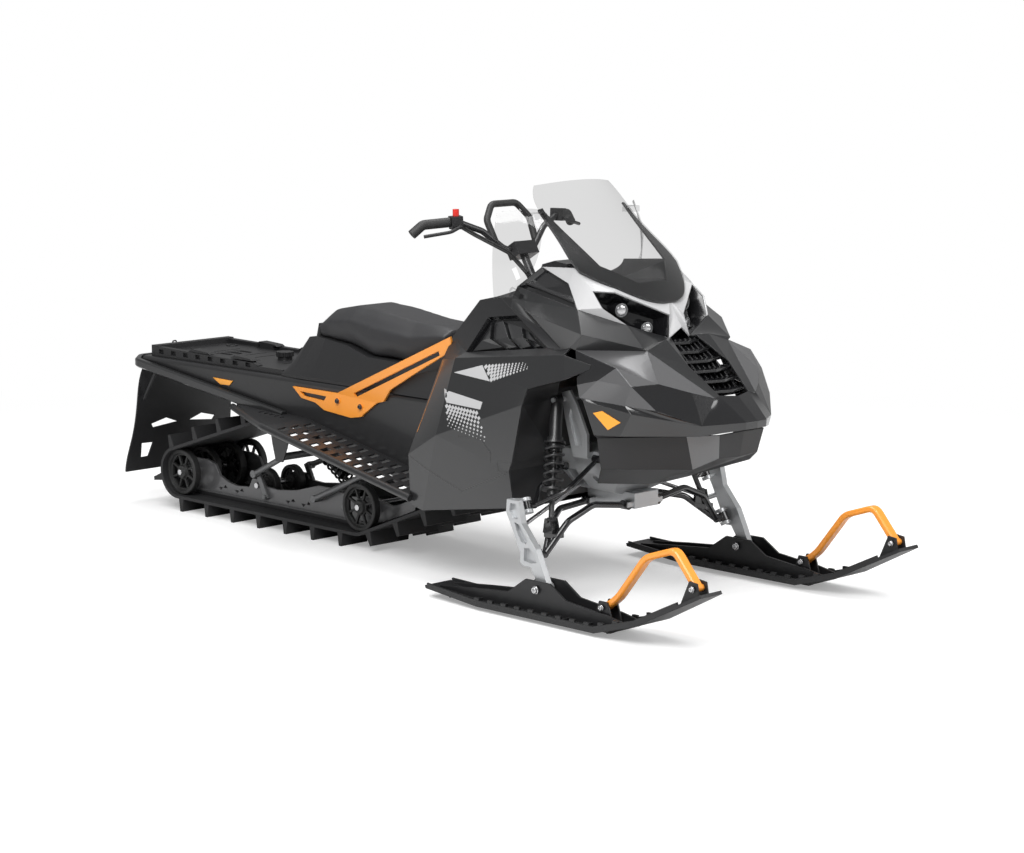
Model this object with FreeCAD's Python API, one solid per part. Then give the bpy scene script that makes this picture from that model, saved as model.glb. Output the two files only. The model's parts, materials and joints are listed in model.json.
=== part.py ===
import FreeCAD, Part
import math
import os

# A utility snowmobile. Millimetres, +X forward, +Y to the rider's left, +Z up,
# with the origin on the ground under the middle of the whole machine.

Vector = FreeCAD.Vector

# Driving dimensions of the whole machine
LENGTH = 3290.0
SKI_STANCE = 993.0
FIT = 0.3

# Track and its running gear
TRACK_WIDTH = 410.0
BELT_THICKNESS = 12.0
LUG_HEIGHT = 50.0
LUG_SPACING = 158.0
LUG_BASE = 30.0
LUG_TIP = 14.0
OUTER_LUG_WIDTH = 128.0
CENTRE_LUG_WIDTH = 118.0
WHEEL_RADIUS = 90.0
WHEEL_WIDTH = 30.0
REAR_AXLE_X = -1372.0
FRONT_WHEEL_X = -329.0
DRIVE_X = 300.0
DRIVE_Z = 400.0
UPPER_IDLER_X = -600.0
UPPER_IDLER_RADIUS = 68.0
MIDDLE_WHEEL_X = -985.0
MIDDLE_WHEEL_RADIUS = 60.0
MIDDLE_WHEEL_LIFT = 18.0
AXLE_RADIUS = 11.0

# Slide rails
RAIL_Y = 110.0
RAIL_THICKNESS = 12.0
SLIDER_HEIGHT = 16.0

# Tunnel
TUNNEL_WIDTH = 430.0
TUNNEL_TOP = 598.0
TUNNEL_SHEET = 4.0
TUNNEL_REAR_X = -1560.0
TUNNEL_FRONT_X = 470.0
BUMPER_RAIL_WIDTH = 22.0
BUMPER_RAIL_HEIGHT = 34.0
BUMPER_Z = 578.0
BUMPER_REAR_X = -1615.0
FLAP_THICKNESS = 6.0
DECK_PLATE = 20.0
DECK_SOCKETS_X = -1250.0
DECK_SOCKET_STEP = 340.0
DECK_SOCKET_ROW = 240.0
DECK_SOCKET_RADIUS = 14.0
DECK_SOCKET_RIM = 4.0
PIN_HOLE_RADIUS = 6.3

# Running boards
BOARD_OUTER_Y = 440.0
BOARD_THICKNESS = 6.0

# Body panels
PANEL_THICKNESS = 5.0

# Steering and front suspension
STEERING_POINT = Vector(345.0, 0.0, 1100.0)
STEERING_LEAN = 30.6
KINGPIN_TOP = Vector(795.0, -440.0, 345.0)
KINGPIN_LOW = Vector(862.0, -462.0, 195.0)
ARM_INWARD = Vector(0.054, 0.98, -0.12).normalize()
LOWER_PIVOT_Y = 73.5
UPPER_PIVOT_Y = 196.0
SHOCK_BOLT = 6.0
PIN_RADIUS = 8.0
WEB_THICKNESS = 24.0
SKI_BOLT_X = 933.0
SKI_BOLT_Z = 100.0
SKI_BOLT_RADIUS = 7.0

# Skis
SKI_WIDTH = 170.0
SKI_REAR_X = 431.0
SKI_REACH = 712.0
SKI_TIP_Z = 186.0
SKI_PLATE = 10.0
SKI_HANDLE_WIDTH = 36.0
HANDLE_BOLT = 5.0
SKI_HANDLE_LINE = [(1210, 84), (1262, 120), (1380, 268), (1500, 308), (1590, 203)]


# Small helpers for profiles, bars and skins

def outline_xz(points, y):
    corners = [Vector(x, y, z) for x, z in points]
    return Part.makePolygon(corners + corners[:1])


def plate_xz(points, y_from, y_to):
    face = Part.Face(outline_xz(points, y_from))
    return face.extrude(Vector(0, y_to - y_from, 0))


def plate_xy(points, z_from, z_to):
    corners = [Vector(x, y, z_from) for x, y in points]
    face = Part.Face(Part.makePolygon(corners + corners[:1]))
    return face.extrude(Vector(0, 0, z_to - z_from))


def block(x_from, x_to, y_from, y_to, z_from, z_to):
    return Part.makeBox(x_to - x_from, y_to - y_from, z_to - z_from, Vector(x_from, y_from, z_from))


def rod(start, end, radius):
    axis = end - start
    return Part.makeCylinder(radius, axis.Length, start, axis)


def cross_rod(x, z, radius, y_from, y_to):
    return rod(Vector(x, y_from, z), Vector(x, y_to, z), radius)


def mirrored(shape):
    return shape.mirror(Vector(0, 0, 0), Vector(0, 1, 0))


def both_sides(shape):
    return [shape, mirrored(shape)]


def bend_path(points, bend_radius):
    """Straight runs joined by tangent arcs, as one wire."""
    edges = []
    start = points[0]
    for before, corner, after in zip(points, points[1:], points[2:]):
        back = (before - corner).normalize()
        ahead = (after - corner).normalize()
        half_angle = back.getAngle(ahead) / 2
        room = 0.45 * min((before - corner).Length, (after - corner).Length)
        reach = min(bend_radius / math.tan(half_angle), room)
        radius = reach * math.tan(half_angle)
        middle_way = (back + ahead).normalize()
        centre = corner + middle_way * (radius / math.sin(half_angle))
        arc_start = corner + back * reach
        arc_end = corner + ahead * reach
        edges.append(Part.makeLine(start, arc_start))
        edges.append(Part.Arc(arc_start, centre - middle_way * radius, arc_end).toShape())
        start = arc_end
    edges.append(Part.makeLine(start, points[-1]))
    return Part.Wire(edges)


def bent_bar(points, radius, bend_radius):
    """A round bar bent along the points."""
    path = bend_path(points, bend_radius)
    profile = Part.Wire(Part.makeCircle(radius, points[0], points[1] - points[0]))
    return path.makePipeShell([profile], True, False)


def flat_band(points, width, thickness, bend_radius, y_middle):
    """A flat band bent in a vertical fore-and-aft plane."""
    path = bend_path([Vector(x, y_middle, z) for x, z in points], bend_radius)
    ahead = Vector(points[1][0] - points[0][0], 0, points[1][1] - points[0][1]).normalize()
    side = Vector(0, 1, 0)
    up = ahead.cross(side)
    start = Vector(points[0][0], y_middle, points[0][1])
    corners = []
    for along_side, along_up in ((-1, -1), (1, -1), (1, 1), (-1, 1)):
        corners.append(start + side * (along_side * width / 2) + up * (along_up * thickness / 2))
    maker = Part.BRepOffsetAPI.MakePipeShell(path)
    maker.setBiNormalMode(side)
    maker.add(Part.makePolygon(corners + corners[:1]))
    maker.build()
    maker.makeSolid()
    return maker.shape()


def solid_of(faces):
    """One closed solid from faces that share their edges."""
    shell = Part.makeShell(faces)
    shell.sewShape()
    solid = Part.makeSolid(shell)
    if solid.Volume < 0:
        solid.reverse()
    return solid


def largest(shape):
    """The biggest solid of a shape that a cut has left in pieces."""
    return max(shape.Solids, key=lambda solid: solid.Volume)


def trimmed(shape, neighbours):
    """The shape less what would run into its neighbours, as one solid that seats on them."""
    for neighbour in neighbours:
        shape = shape.cut(neighbour)
    return largest(shape)


def ruled_face(a, b, c, d):
    """A face with four straight edges, flat or gently twisted."""
    return Part.makeRuledSurface(Part.makeLine(a, b), Part.makeLine(d, c))


def flat_face(corners):
    return Part.Face(Part.makePolygon(list(corners) + [corners[0]]))


def sheet_solid(rows, thickness):
    """A curved sheet through rows of points, with its thickness laid on one side."""
    outer = Part.BSplineSurface()
    outer.interpolate(rows)
    inner = Part.BSplineSurface()
    inner.interpolate(offset_rows(rows, thickness))
    faces = [outer.toShape(), inner.toShape()]
    outer_edges = [outer.uIso(0), outer.uIso(1), outer.vIso(0), outer.vIso(1)]
    inner_edges = [inner.uIso(0), inner.uIso(1), inner.vIso(0), inner.vIso(1)]
    for outer_edge, inner_edge in zip(outer_edges, inner_edges):
        faces.append(Part.makeRuledSurface(outer_edge.toShape(), inner_edge.toShape()))
    return solid_of(faces)


def offset_rows(rows, distance):
    """The same grid of points, moved along the sheet's normals."""
    count_u = len(rows)
    count_v = len(rows[0])
    moved = []
    for u in range(count_u):
        moved_row = []
        for v in range(count_v):
            along = rows[min(u + 1, count_u - 1)][v] - rows[max(u - 1, 0)][v]
            across = rows[u][min(v + 1, count_v - 1)] - rows[u][max(v - 1, 0)]
            moved_row.append(rows[u][v] + along.cross(across).normalize() * distance)
        moved.append(moved_row)
    return moved


def joined_groups(faces):
    """Faces sorted into groups that share edges."""
    groups = []
    for face in faces:
        edges = {tuple(sorted(pair)) for pair in zip(face, face[1:] + face[:1])}
        near = [group for group in groups if group[0] & edges]
        merged = (set(edges), [face])
        for group in near:
            merged = (merged[0] | group[0], group[1] + merged[1])
            groups.remove(group)
        groups.append(merged)
    return [group[1] for group in groups]


def skin(faces, points, inner_points):
    """A moulded panel: outer faces, inner faces and the rim between them."""
    shell_faces = []
    edge_count = {}
    for face in faces:
        for table in (points, inner_points):
            corners = [table[name] for name in face]
            if len(face) == 4:
                shell_faces.append(ruled_face(*corners))
            else:
                shell_faces.append(flat_face(corners))
        for start, end in zip(face, face[1:] + face[:1]):
            key = tuple(sorted((start, end)))
            edge_count[key] = edge_count.get(key, 0) + 1
    for (start, end), count in edge_count.items():
        if count == 1:
            rim = ruled_face(points[start], points[end], inner_points[end], inner_points[start])
            shell_faces.append(rim)
    return solid_of(shell_faces)


def save(node, shapes):
    """Write one node's solids and print what they measure."""
    solids = []
    for shape in shapes:
        solids.extend(shape.Solids)
    for number, solid in enumerate(solids):
        if not solid.isValid() or solid.Volume <= 0:
            print("CHECK", node, "solid", number, "valid", solid.isValid(), "volume", round(solid.Volume))
    body = solids[0] if len(solids) == 1 else Part.makeCompound(solids)
    body.exportStep("parts/" + node + ".step")
    size = body.BoundBox
    print("%-18s solids %2d  faces %4d  x %7.1f %7.1f  y %7.1f %7.1f  z %7.1f %7.1f" % (
        node, len(solids), len(body.Faces), size.XMin, size.XMax, size.YMin, size.YMax, size.ZMin, size.ZMax))


# Track: one loop of belt round the running gear, with its lugs in its outline

def running_gear():
    """Centre and radius of each wheel that turns the belt, anticlockwise seen from the right."""
    wheel_z = LUG_HEIGHT + BELT_THICKNESS + WHEEL_RADIUS
    idler_z = DRIVE_Z + WHEEL_RADIUS - UPPER_IDLER_RADIUS
    return [
        (REAR_AXLE_X, wheel_z, WHEEL_RADIUS),
        (FRONT_WHEEL_X, wheel_z, WHEEL_RADIUS),
        (DRIVE_X, DRIVE_Z, WHEEL_RADIUS),
        (UPPER_IDLER_X, idler_z, UPPER_IDLER_RADIUS),
    ]


def belt_stretches(offset):
    """Runs and arcs of the belt at a distance outside the wheels."""
    wheels = running_gear()
    normals = []
    for (x1, z1, r1), (x2, z2, r2) in zip(wheels, wheels[1:] + wheels[:1]):
        distance = math.hypot(x2 - x1, z2 - z1)
        heading = math.atan2(z2 - z1, x2 - x1)
        normals.append(heading - math.acos((r1 - r2) / distance))
    stretches = []
    for number, (x, z, radius) in enumerate(wheels):
        reach = radius + offset
        turn_start = normals[number - 1]
        turn_end = normals[number]
        while turn_end < turn_start:
            turn_end += 2 * math.pi
        stretches.append(("arc", x, z, reach, turn_start, turn_end))
        next_x, next_z, next_radius = wheels[(number + 1) % len(wheels)]
        next_reach = next_radius + offset
        run_start = (x + reach * math.cos(turn_end), z + reach * math.sin(turn_end))
        run_end = (next_x + next_reach * math.cos(turn_end), next_z + next_reach * math.sin(turn_end))
        stretches.append(("run", run_start, run_end, turn_end))
    return stretches


def stretch_length(stretch):
    if stretch[0] == "arc":
        return stretch[3] * (stretch[5] - stretch[4])
    return math.dist(stretch[1], stretch[2])


def belt_wire(offset, y):
    edges = []
    for stretch in belt_stretches(offset):
        if stretch[0] == "arc":
            x, z, reach, turn_start, turn_end = stretch[1:]
            spots = []
            for angle in (turn_start, (turn_start + turn_end) / 2, turn_end):
                spots.append(Vector(x + reach * math.cos(angle), y, z + reach * math.sin(angle)))
            edges.append(Part.Arc(*spots).toShape())
        else:
            run_start, run_end = stretch[1:3]
            edges.append(Part.makeLine(Vector(run_start[0], y, run_start[1]),
                                       Vector(run_end[0], y, run_end[1])))
    return Part.Wire(edges)


def belt_spot(distance, offset):
    """Point on the belt and its outward direction, a distance along the loop."""
    stretches = belt_stretches(offset)
    distance = distance % sum(stretch_length(stretch) for stretch in stretches)
    for stretch in stretches:
        length = stretch_length(stretch)
        if distance <= length:
            break
        distance -= length
    share = distance / length
    if stretch[0] == "arc":
        x, z, reach, turn_start, turn_end = stretch[1:]
        angle = turn_start + share * (turn_end - turn_start)
        return x + reach * math.cos(angle), z + reach * math.sin(angle), angle
    run_start, run_end, angle = stretch[1:]
    x = run_start[0] + share * (run_end[0] - run_start[0])
    z = run_start[1] + share * (run_end[1] - run_start[1])
    return x, z, angle


def track_lug(distance, y_from, y_to):
    """One tapered paddle, rooted in the belt."""
    x, z, angle = belt_spot(distance, BELT_THICKNESS)
    out = (math.cos(angle), math.sin(angle))
    along = (-out[1], out[0])
    root = BELT_THICKNESS / 2
    corners = []
    for side, height in ((-LUG_BASE / 2, -root), (LUG_BASE / 2, -root), (LUG_TIP / 2, LUG_HEIGHT),
                         (-LUG_TIP / 2, LUG_HEIGHT)):
        corners.append((x + along[0] * side + out[0] * height, z + along[1] * side + out[1] * height))
    return plate_xz(corners, y_from, y_to)


def make_track():
    half = TRACK_WIDTH / 2
    outer = Part.Face(belt_wire(BELT_THICKNESS, -half)).extrude(Vector(0, TRACK_WIDTH, 0))
    inner = Part.Face(belt_wire(0, -half)).extrude(Vector(0, TRACK_WIDTH, 0))
    belt = outer.cut(inner)
    loop = sum(stretch_length(stretch) for stretch in belt_stretches(BELT_THICKNESS))
    rows = round(loop / LUG_SPACING)
    spacing = loop / rows
    lugs = []
    for row in range(rows):
        lugs.append(track_lug(row * spacing, -half + 1, -half + 1 + OUTER_LUG_WIDTH))
        lugs.append(track_lug(row * spacing, half - 1 - OUTER_LUG_WIDTH, half - 1))
        lugs.append(track_lug((row + 0.5) * spacing, -CENTRE_LUG_WIDTH / 2, CENTRE_LUG_WIDTH / 2))
    return belt.fuse(lugs)


# Wheels, axles and rails inside the track

def wheel(x, z, radius, width, y_middle):
    """A rubber-rimmed wheel with a dished web and windows between its spokes."""
    bore = AXLE_RADIUS + FIT
    half = width / 2
    web = 5.0
    hub = 24.0
    rim = radius - 14.0
    profile = [
        (bore, -half), (hub, -half), (hub + 4, -web), (rim - 3, -web), (rim, -half), (radius - 3, -half),
        (radius, -half + 3), (radius, half - 3), (radius - 3, half), (rim, half), (rim - 3, web),
        (hub + 4, web), (hub, half), (bore, half),
    ]
    corners = [Vector(r, y, 0) for r, y in profile]
    face = Part.Face(Part.makePolygon(corners + corners[:1]))
    shape = face.revolve(Vector(0, 0, 0), Vector(0, 1, 0), 360)
    spokes = 8
    window_inner = hub + 8
    window_outer = rim - 7
    spread = math.pi / spokes - 4.0 / window_inner
    for step in range(spokes):
        middle = 2 * math.pi * step / spokes
        outline = []
        for reach, angle in ((window_inner, middle - spread), (window_outer, middle - spread * 1.25),
                             (window_outer, middle + spread * 1.25), (window_inner, middle + spread)):
            outline.append((reach * math.cos(angle), reach * math.sin(angle)))
        shape = shape.cut(plate_xz(outline, -half, half))
    shape.translate(Vector(x, y_middle, z))
    return shape


WHEEL_Z = LUG_HEIGHT + BELT_THICKNESS + WHEEL_RADIUS
IDLER_Z = DRIVE_Z + WHEEL_RADIUS - UPPER_IDLER_RADIUS
MIDDLE_WHEEL_Z = LUG_HEIGHT + BELT_THICKNESS + MIDDLE_WHEEL_RADIUS + MIDDLE_WHEEL_LIFT
RAIL_LOW = LUG_HEIGHT + BELT_THICKNESS + SLIDER_HEIGHT
OUTER_WHEEL_Y = 168.0
INNER_WHEEL_Y = 62.0
AXLE_REACH = OUTER_WHEEL_Y + WHEEL_WIDTH / 2 + 8
AXLES = [
    (REAR_AXLE_X, WHEEL_Z, AXLE_REACH),
    (MIDDLE_WHEEL_X, MIDDLE_WHEEL_Z, RAIL_Y + RAIL_THICKNESS / 2 + 8),
    (FRONT_WHEEL_X, WHEEL_Z, AXLE_REACH),
    (UPPER_IDLER_X, IDLER_Z, TUNNEL_WIDTH / 2 - TUNNEL_SHEET),
]

DRIVE_SHAFT_RADIUS = 16.0


def make_wheels():
    clear = WHEEL_RADIUS - FIT
    wheels = []
    for y in (-OUTER_WHEEL_Y, -INNER_WHEEL_Y, INNER_WHEEL_Y, OUTER_WHEEL_Y):
        wheels.append(wheel(REAR_AXLE_X, WHEEL_Z, clear, WHEEL_WIDTH, y))
    for side in (-1, 1):
        wheels.append(wheel(FRONT_WHEEL_X, WHEEL_Z, clear, WHEEL_WIDTH, side * OUTER_WHEEL_Y))
        wheels.append(wheel(MIDDLE_WHEEL_X, MIDDLE_WHEEL_Z, MIDDLE_WHEEL_RADIUS, WHEEL_WIDTH,
                            side * INNER_WHEEL_Y))
        wheels.append(wheel(UPPER_IDLER_X, IDLER_Z, UPPER_IDLER_RADIUS - FIT, WHEEL_WIDTH, side * 126))
    for y in (-90, 0, 90):
        sprocket = cross_rod(DRIVE_X, DRIVE_Z, clear, y - 18, y + 18)
        wheels.append(sprocket.cut(cross_rod(DRIVE_X, DRIVE_Z, DRIVE_SHAFT_RADIUS + FIT, y - 20, y + 20)))
    return wheels


def make_axles():
    inside = TUNNEL_WIDTH / 2 - TUNNEL_SHEET
    axles = [cross_rod(x, z, AXLE_RADIUS, -reach, reach) for x, z, reach in AXLES]
    axles.append(cross_rod(DRIVE_X, DRIVE_Z, DRIVE_SHAFT_RADIUS, -inside, inside))
    return axles


RAIL_OUTLINE = [
    (REAR_AXLE_X, RAIL_LOW), (FRONT_WHEEL_X, RAIL_LOW), (-262, 98), (-160, 138), (-98, 163), (-90, 186),
    (-124, 196),
    (-180, 174), (-223, 162), (-290, 174), (-360, 178), (-441, 168), (-550, 184), (-640, 182), (-760, 150),
    (-860, 138), (-940, 142), (-955, 164), (-1015, 164), (-1035, 128), (-1110, 122), (-1165, 130),
    (-1215, 150),
    (-1243, 191), (-1290, 204), (-1400, 204), (-1430, 180), (-1425, 120), (-1402, 86),
]


def make_slide_rails():
    inner_face = RAIL_Y - RAIL_THICKNESS / 2
    outer_face = RAIL_Y + RAIL_THICKNESS / 2
    rail = plate_xz(RAIL_OUTLINE, -outer_face, -inner_face)
    foot = [(REAR_AXLE_X, RAIL_LOW), (FRONT_WHEEL_X, RAIL_LOW), (FRONT_WHEEL_X, RAIL_LOW + 6),
            (REAR_AXLE_X, RAIL_LOW + 6)]
    rail = rail.fuse(plate_xz(foot, -outer_face - 8, -inner_face + 8))
    for x, z, reach in AXLES[:3]:
        rail = rail.cut(cross_rod(x, z, AXLE_RADIUS + FIT, -RAIL_Y * 2, 0))
    rail = rail.cut(cross_rod(*FRONT_ARM_LOW, ARM_TUBE + FIT, -RAIL_Y * 2, 0))
    rail = rail.cut(cross_rod(*SHOCK_TUBE, CROSS_TUBE + FIT, -RAIL_Y * 2, 0))
    low = RAIL_LOW + 14
    for middle in (-1195, -1095, -790, -700):
        for side, tip in ((-1, low), (1, low + 24)):
            hole = [(middle + side * 15 - 12, low + 12), (middle + side * 15 + 12, low + 12),
                    (middle + side * 15, tip)]
            rail = rail.cut(plate_xz(hole, -RAIL_Y * 2, 0))
    return both_sides(rail)


def make_sliders():
    floor = LUG_HEIGHT + BELT_THICKNESS + FIT
    half = RAIL_THICKNESS / 2 + 7
    start = REAR_AXLE_X + 10
    outline = [(start, floor), (FRONT_WHEEL_X, floor), (FRONT_WHEEL_X, RAIL_LOW), (start, RAIL_LOW)]
    return both_sides(plate_xz(outline, -RAIL_Y - half, -RAIL_Y + half))


FRONT_ARM_TOP = (-60.0, 380.0)
FRONT_ARM_LOW = (-620.0, 140.0)
REAR_ARM_TOP = (-740.0, 290.0)
REAR_ARM_LOW = (-970.0, 190.0)
LINK_FOOT = (-924.0, 105.0)
SHOCK_TUBE = (-480.0, 125.0)
ARM_TUBE = 14.0
CROSS_TUBE = 10.0
BRACKET_SHEET = 4.5
REAR_SPRING_FROM = 52.0
REAR_SPRING_TO = 262.0


def make_suspension_arms():
    inside = TUNNEL_WIDTH / 2 - TUNNEL_SHEET
    outer_face = RAIL_Y + RAIL_THICKNESS / 2
    front = cross_rod(*FRONT_ARM_TOP, ARM_TUBE, -inside, inside)
    front = front.fuse(cross_rod(*FRONT_ARM_LOW, ARM_TUBE, -152, 152))
    bracket_face = inside - BRACKET_SHEET - FIT
    rear = cross_rod(*REAR_ARM_TOP, ARM_TUBE, -bracket_face, bracket_face)
    for side in (-1, 1):
        front = front.fuse(rod(Vector(FRONT_ARM_TOP[0], side * 172, FRONT_ARM_TOP[1]),
                               Vector(FRONT_ARM_LOW[0], side * 140, FRONT_ARM_LOW[1]), ARM_TUBE - 2))
        rear = rear.fuse(rod(Vector(REAR_ARM_TOP[0], side * 186, REAR_ARM_TOP[1]),
                             Vector(REAR_ARM_LOW[0], side * 140, REAR_ARM_LOW[1]), ARM_TUBE - 3))
        ends = sorted((side * (outer_face + 12), side * (outer_face + 36)))
        rear = rear.fuse(cross_rod(*REAR_ARM_LOW, 15, *ends))
        drop = Vector(LINK_FOOT[0] - REAR_ARM_LOW[0], 0, LINK_FOOT[1] - REAR_ARM_LOW[1]).normalize()
        across = Vector(drop.z, 0, -drop.x) * 11
        outline = []
        for place, sign, along in ((REAR_ARM_LOW, 1, -10), (REAR_ARM_LOW, -1, -10), (LINK_FOOT, -1, 10),
                                   (LINK_FOOT, 1, 10)):
            outline.append((place[0] + across.x * sign + drop.x * along,
                            place[1] + across.z * sign + drop.z * along))
        ends = sorted((side * (outer_face + FIT), side * (outer_face + 12)))
        rear = rear.fuse(plate_xz(outline, *ends))
        ends = sorted((side * (outer_face + FIT), side * (outer_face + 22)))
        rear = rear.fuse(cross_rod(*LINK_FOOT, 9, *ends))
    tube = cross_rod(*SHOCK_TUBE, CROSS_TUBE, -outer_face - 8, outer_face + 8)
    return [front, rear, tube]


def make_tunnel_brackets():
    """Plates that hang from the tunnel's sides and hold the rear arm."""
    inside = TUNNEL_WIDTH / 2 - TUNNEL_SHEET
    x, z = REAR_ARM_TOP
    outline = [(x - 65, 470), (x + 90, 470), (x + 45, z + 40), (x + 20, z - 16), (x - 20, z - 16),
               (x - 38, z + 45)]
    return both_sides(plate_xz(outline, -inside, -inside + BRACKET_SHEET))


def make_rear_shock():
    start = Vector(REAR_ARM_TOP[0], 0, REAR_ARM_TOP[1])
    end = Vector(SHOCK_TUBE[0], 0, SHOCK_TUBE[1])
    axis = (end - start).normalize()
    body = rod(start + axis * 18, start + axis * 150, 18.0)
    body = body.fuse([
        rod(start + axis * 140, end - axis * 14, 8.0), cross_rod(start.x, start.z, 22, -16, 16),
        cross_rod(end.x, end.z, 18, -16, 16),
        rod(start + axis * REAR_SPRING_FROM, start + axis * (REAR_SPRING_FROM - 8), 30),
        rod(start + axis * REAR_SPRING_TO, start + axis * (REAR_SPRING_TO + 8), 30)])
    body = body.cut(cross_rod(start.x, start.z, ARM_TUBE + FIT, -20, 20))
    return body.cut(cross_rod(end.x, end.z, CROSS_TUBE + FIT, -20, 20))


def coil_between(start, axis, from_along, to_along, coil_radius, wire_radius, turns):
    """A closed round-wire spring round an axis, seated a fit away from both perches."""
    height = to_along - from_along - 2 * (wire_radius + FIT)
    helix = Part.makeHelix(height / turns, height, coil_radius)
    profile = Part.Wire(Part.makeCircle(wire_radius, Vector(coil_radius, 0, 0), Vector(0, 1, 0)))
    coil = Part.Wire(helix).makePipeShell([profile], True, True)
    foot = start + axis * (from_along + wire_radius + FIT)
    coil.Placement = FreeCAD.Placement(foot, FreeCAD.Rotation(Vector(0, 0, 1), axis))
    return coil


# Tunnel, running boards, rear rails, flap, deck and hitch

TUNNEL_SIDE = [
    (TUNNEL_REAR_X, 552), (-680, 440), (-640, 402), (-560, 402), (-540, 420), (-390, 372), (-40, 284),
    (TUNNEL_FRONT_X, 284),
    (TUNNEL_FRONT_X, TUNNEL_TOP + 1), (TUNNEL_REAR_X, TUNNEL_TOP + 1),
]


def make_tunnel():
    half = TUNNEL_WIDTH / 2
    length = TUNNEL_FRONT_X - TUNNEL_REAR_X
    outer = block(TUNNEL_REAR_X, TUNNEL_FRONT_X, -half, half, 200, TUNNEL_TOP)
    edges = [edge for edge in outer.Edges if edge.BoundBox.ZMin > TUNNEL_TOP - 1
             and edge.BoundBox.XLength > length - 1]
    outer = outer.makeFillet(16, edges)
    inside = half - TUNNEL_SHEET
    inner = block(TUNNEL_REAR_X - 1, TUNNEL_FRONT_X - TUNNEL_SHEET, -inside, inside, 199,
                  TUNNEL_TOP - TUNNEL_SHEET)
    edges = [edge for edge in inner.Edges if edge.BoundBox.ZMin > TUNNEL_TOP - TUNNEL_SHEET - 1
             and edge.BoundBox.XLength > length - TUNNEL_SHEET - 1]
    inner = inner.makeFillet(12, edges)
    channel = outer.cut(inner)
    channel = channel.common(plate_xz(TUNNEL_SIDE, -half - 1, half + 1))
    return [channel.fuse(make_tunnel_brackets())]


BOARD_LINE = [(-974, 478), (-559, 456), (229, 296)]


def make_running_boards(neighbours):
    wall = -TUNNEL_WIDTH / 2
    rail_side = wall - BUMPER_RAIL_WIDTH * 1.5 - FIT
    slab_profile = BOARD_LINE + [(x, z - BOARD_THICKNESS) for x, z in reversed(BOARD_LINE)]
    slab = plate_xz(slab_profile, -BOARD_OUTER_Y, wall)
    front_x = BOARD_LINE[-1][0]
    plan = [(-940, rail_side), (-559, -BOARD_OUTER_Y), (front_x, -BOARD_OUTER_Y), (front_x, wall),
            (-676, wall),
            (-676, rail_side)]
    board = slab.common(plate_xy(plan, 200, 600))
    for number in range(12):
        x = -520 + number * 58
        for row in range(3):
            y = wall - 26 - row * 62
            hole = [(x, y), (x + 26, y), (x + 34, y - 44), (x + 8, y - 44)]
            board = board.cut(plate_xy(hole, 200, 600))
    for number in range(5):
        x = -770 + number * 30
        hole = [(x, rail_side - 12), (x + 14, rail_side - 12), (x + 14, rail_side - 44), (x, rail_side - 34)]
        board = board.cut(plate_xy(hole, 200, 600))
    edge_path = [Vector(-974, wall - 24, 459), Vector(-559, -BOARD_OUTER_Y, 452),
                 Vector(front_x, -BOARD_OUTER_Y, 295)]
    board = board.fuse(bent_bar(edge_path, 13, 60))
    return both_sides(trimmed(board, neighbours))


def make_rear_bumper():
    half = TUNNEL_WIDTH / 2 + BUMPER_RAIL_WIDTH
    corner_x = BUMPER_REAR_X + 47
    corner_y = half - 52
    front_x = -680
    front_z = 456
    slope = (BUMPER_Z - 11 - front_z) / (-1530 - front_x)

    def rail_z(x):
        return front_z + (x - front_x) * slope

    path = bend_path([
        Vector(front_x, -half, front_z), Vector(corner_x, -half, rail_z(corner_x)),
        Vector(BUMPER_REAR_X, -corner_y, BUMPER_Z), Vector(BUMPER_REAR_X, corner_y, BUMPER_Z),
        Vector(corner_x, half, rail_z(corner_x)), Vector(front_x, half, front_z)], 45)
    start = Vector(front_x, -half, front_z)
    half_wide = BUMPER_RAIL_WIDTH / 2
    half_high = BUMPER_RAIL_HEIGHT / 2
    bevel = 6
    corners = []
    for y, z in ((-half_wide + bevel, -half_high), (half_wide, -half_high), (half_wide, half_high),
                 (-half_wide + bevel, half_high), (-half_wide, half_high - bevel),
                 (-half_wide, -half_high + bevel)):
        corners.append(start + Vector(0, y, z))
    maker = Part.BRepOffsetAPI.MakePipeShell(path)
    maker.setBiNormalMode(Vector(0, 0, 1))
    maker.add(Part.makePolygon(corners + corners[:1]))
    maker.build()
    maker.makeSolid()
    rail = maker.shape()
    for x in (-760, -1000, -1240, -1480):
        for side in (-1, 1):
            stub_end = Vector(x, side * (half - 5), rail_z(x))
            rail = rail.fuse(rod(Vector(x, side * TUNNEL_WIDTH / 2, rail_z(x)), stub_end, 9))
    return [rail]


def make_snow_flap():
    rows = []
    top_x = TUNNEL_REAR_X - FLAP_THICKNESS - FIT
    profile = ((top_x, 574, 196), (-1573, 500, 226), (-1580, 400, 236), (-1602, 270, 246),
               (-LENGTH / 2, 128, 250))
    for x, z, half in profile:
        rows.append([Vector(x, y * half / 3, z) for y in (-3, -1, 1, 3)])
    flap = sheet_solid(rows, FLAP_THICKNESS)
    strut_y = TUNNEL_WIDTH / 2 - 12
    inside = TUNNEL_WIDTH / 2 - TUNNEL_SHEET - FIT
    for side in (-1, 1):
        slots = [
            [(side * 88, 334), (side * 160, 316), (side * 150, 300), (side * 30, 312)],
            [(side * 196, 240), (side * 140, 238), (side * 152, 182), (side * 188, 180)],
        ]
        for slot in slots:
            corners = [Vector(-1700, y, z) for y, z in slot]
            flap = flap.cut(flat_face(corners).extrude(Vector(300, 0, 0)))
        strut = rod(Vector(-1476, side * strut_y, 562), Vector(-1578, side * strut_y, 420), 7)
        strut = strut.fuse(rod(Vector(-1476, side * strut_y, 562), Vector(-1476, side * inside, 562), 9))
        flap = flap.fuse(strut)
    return [flap]


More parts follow.
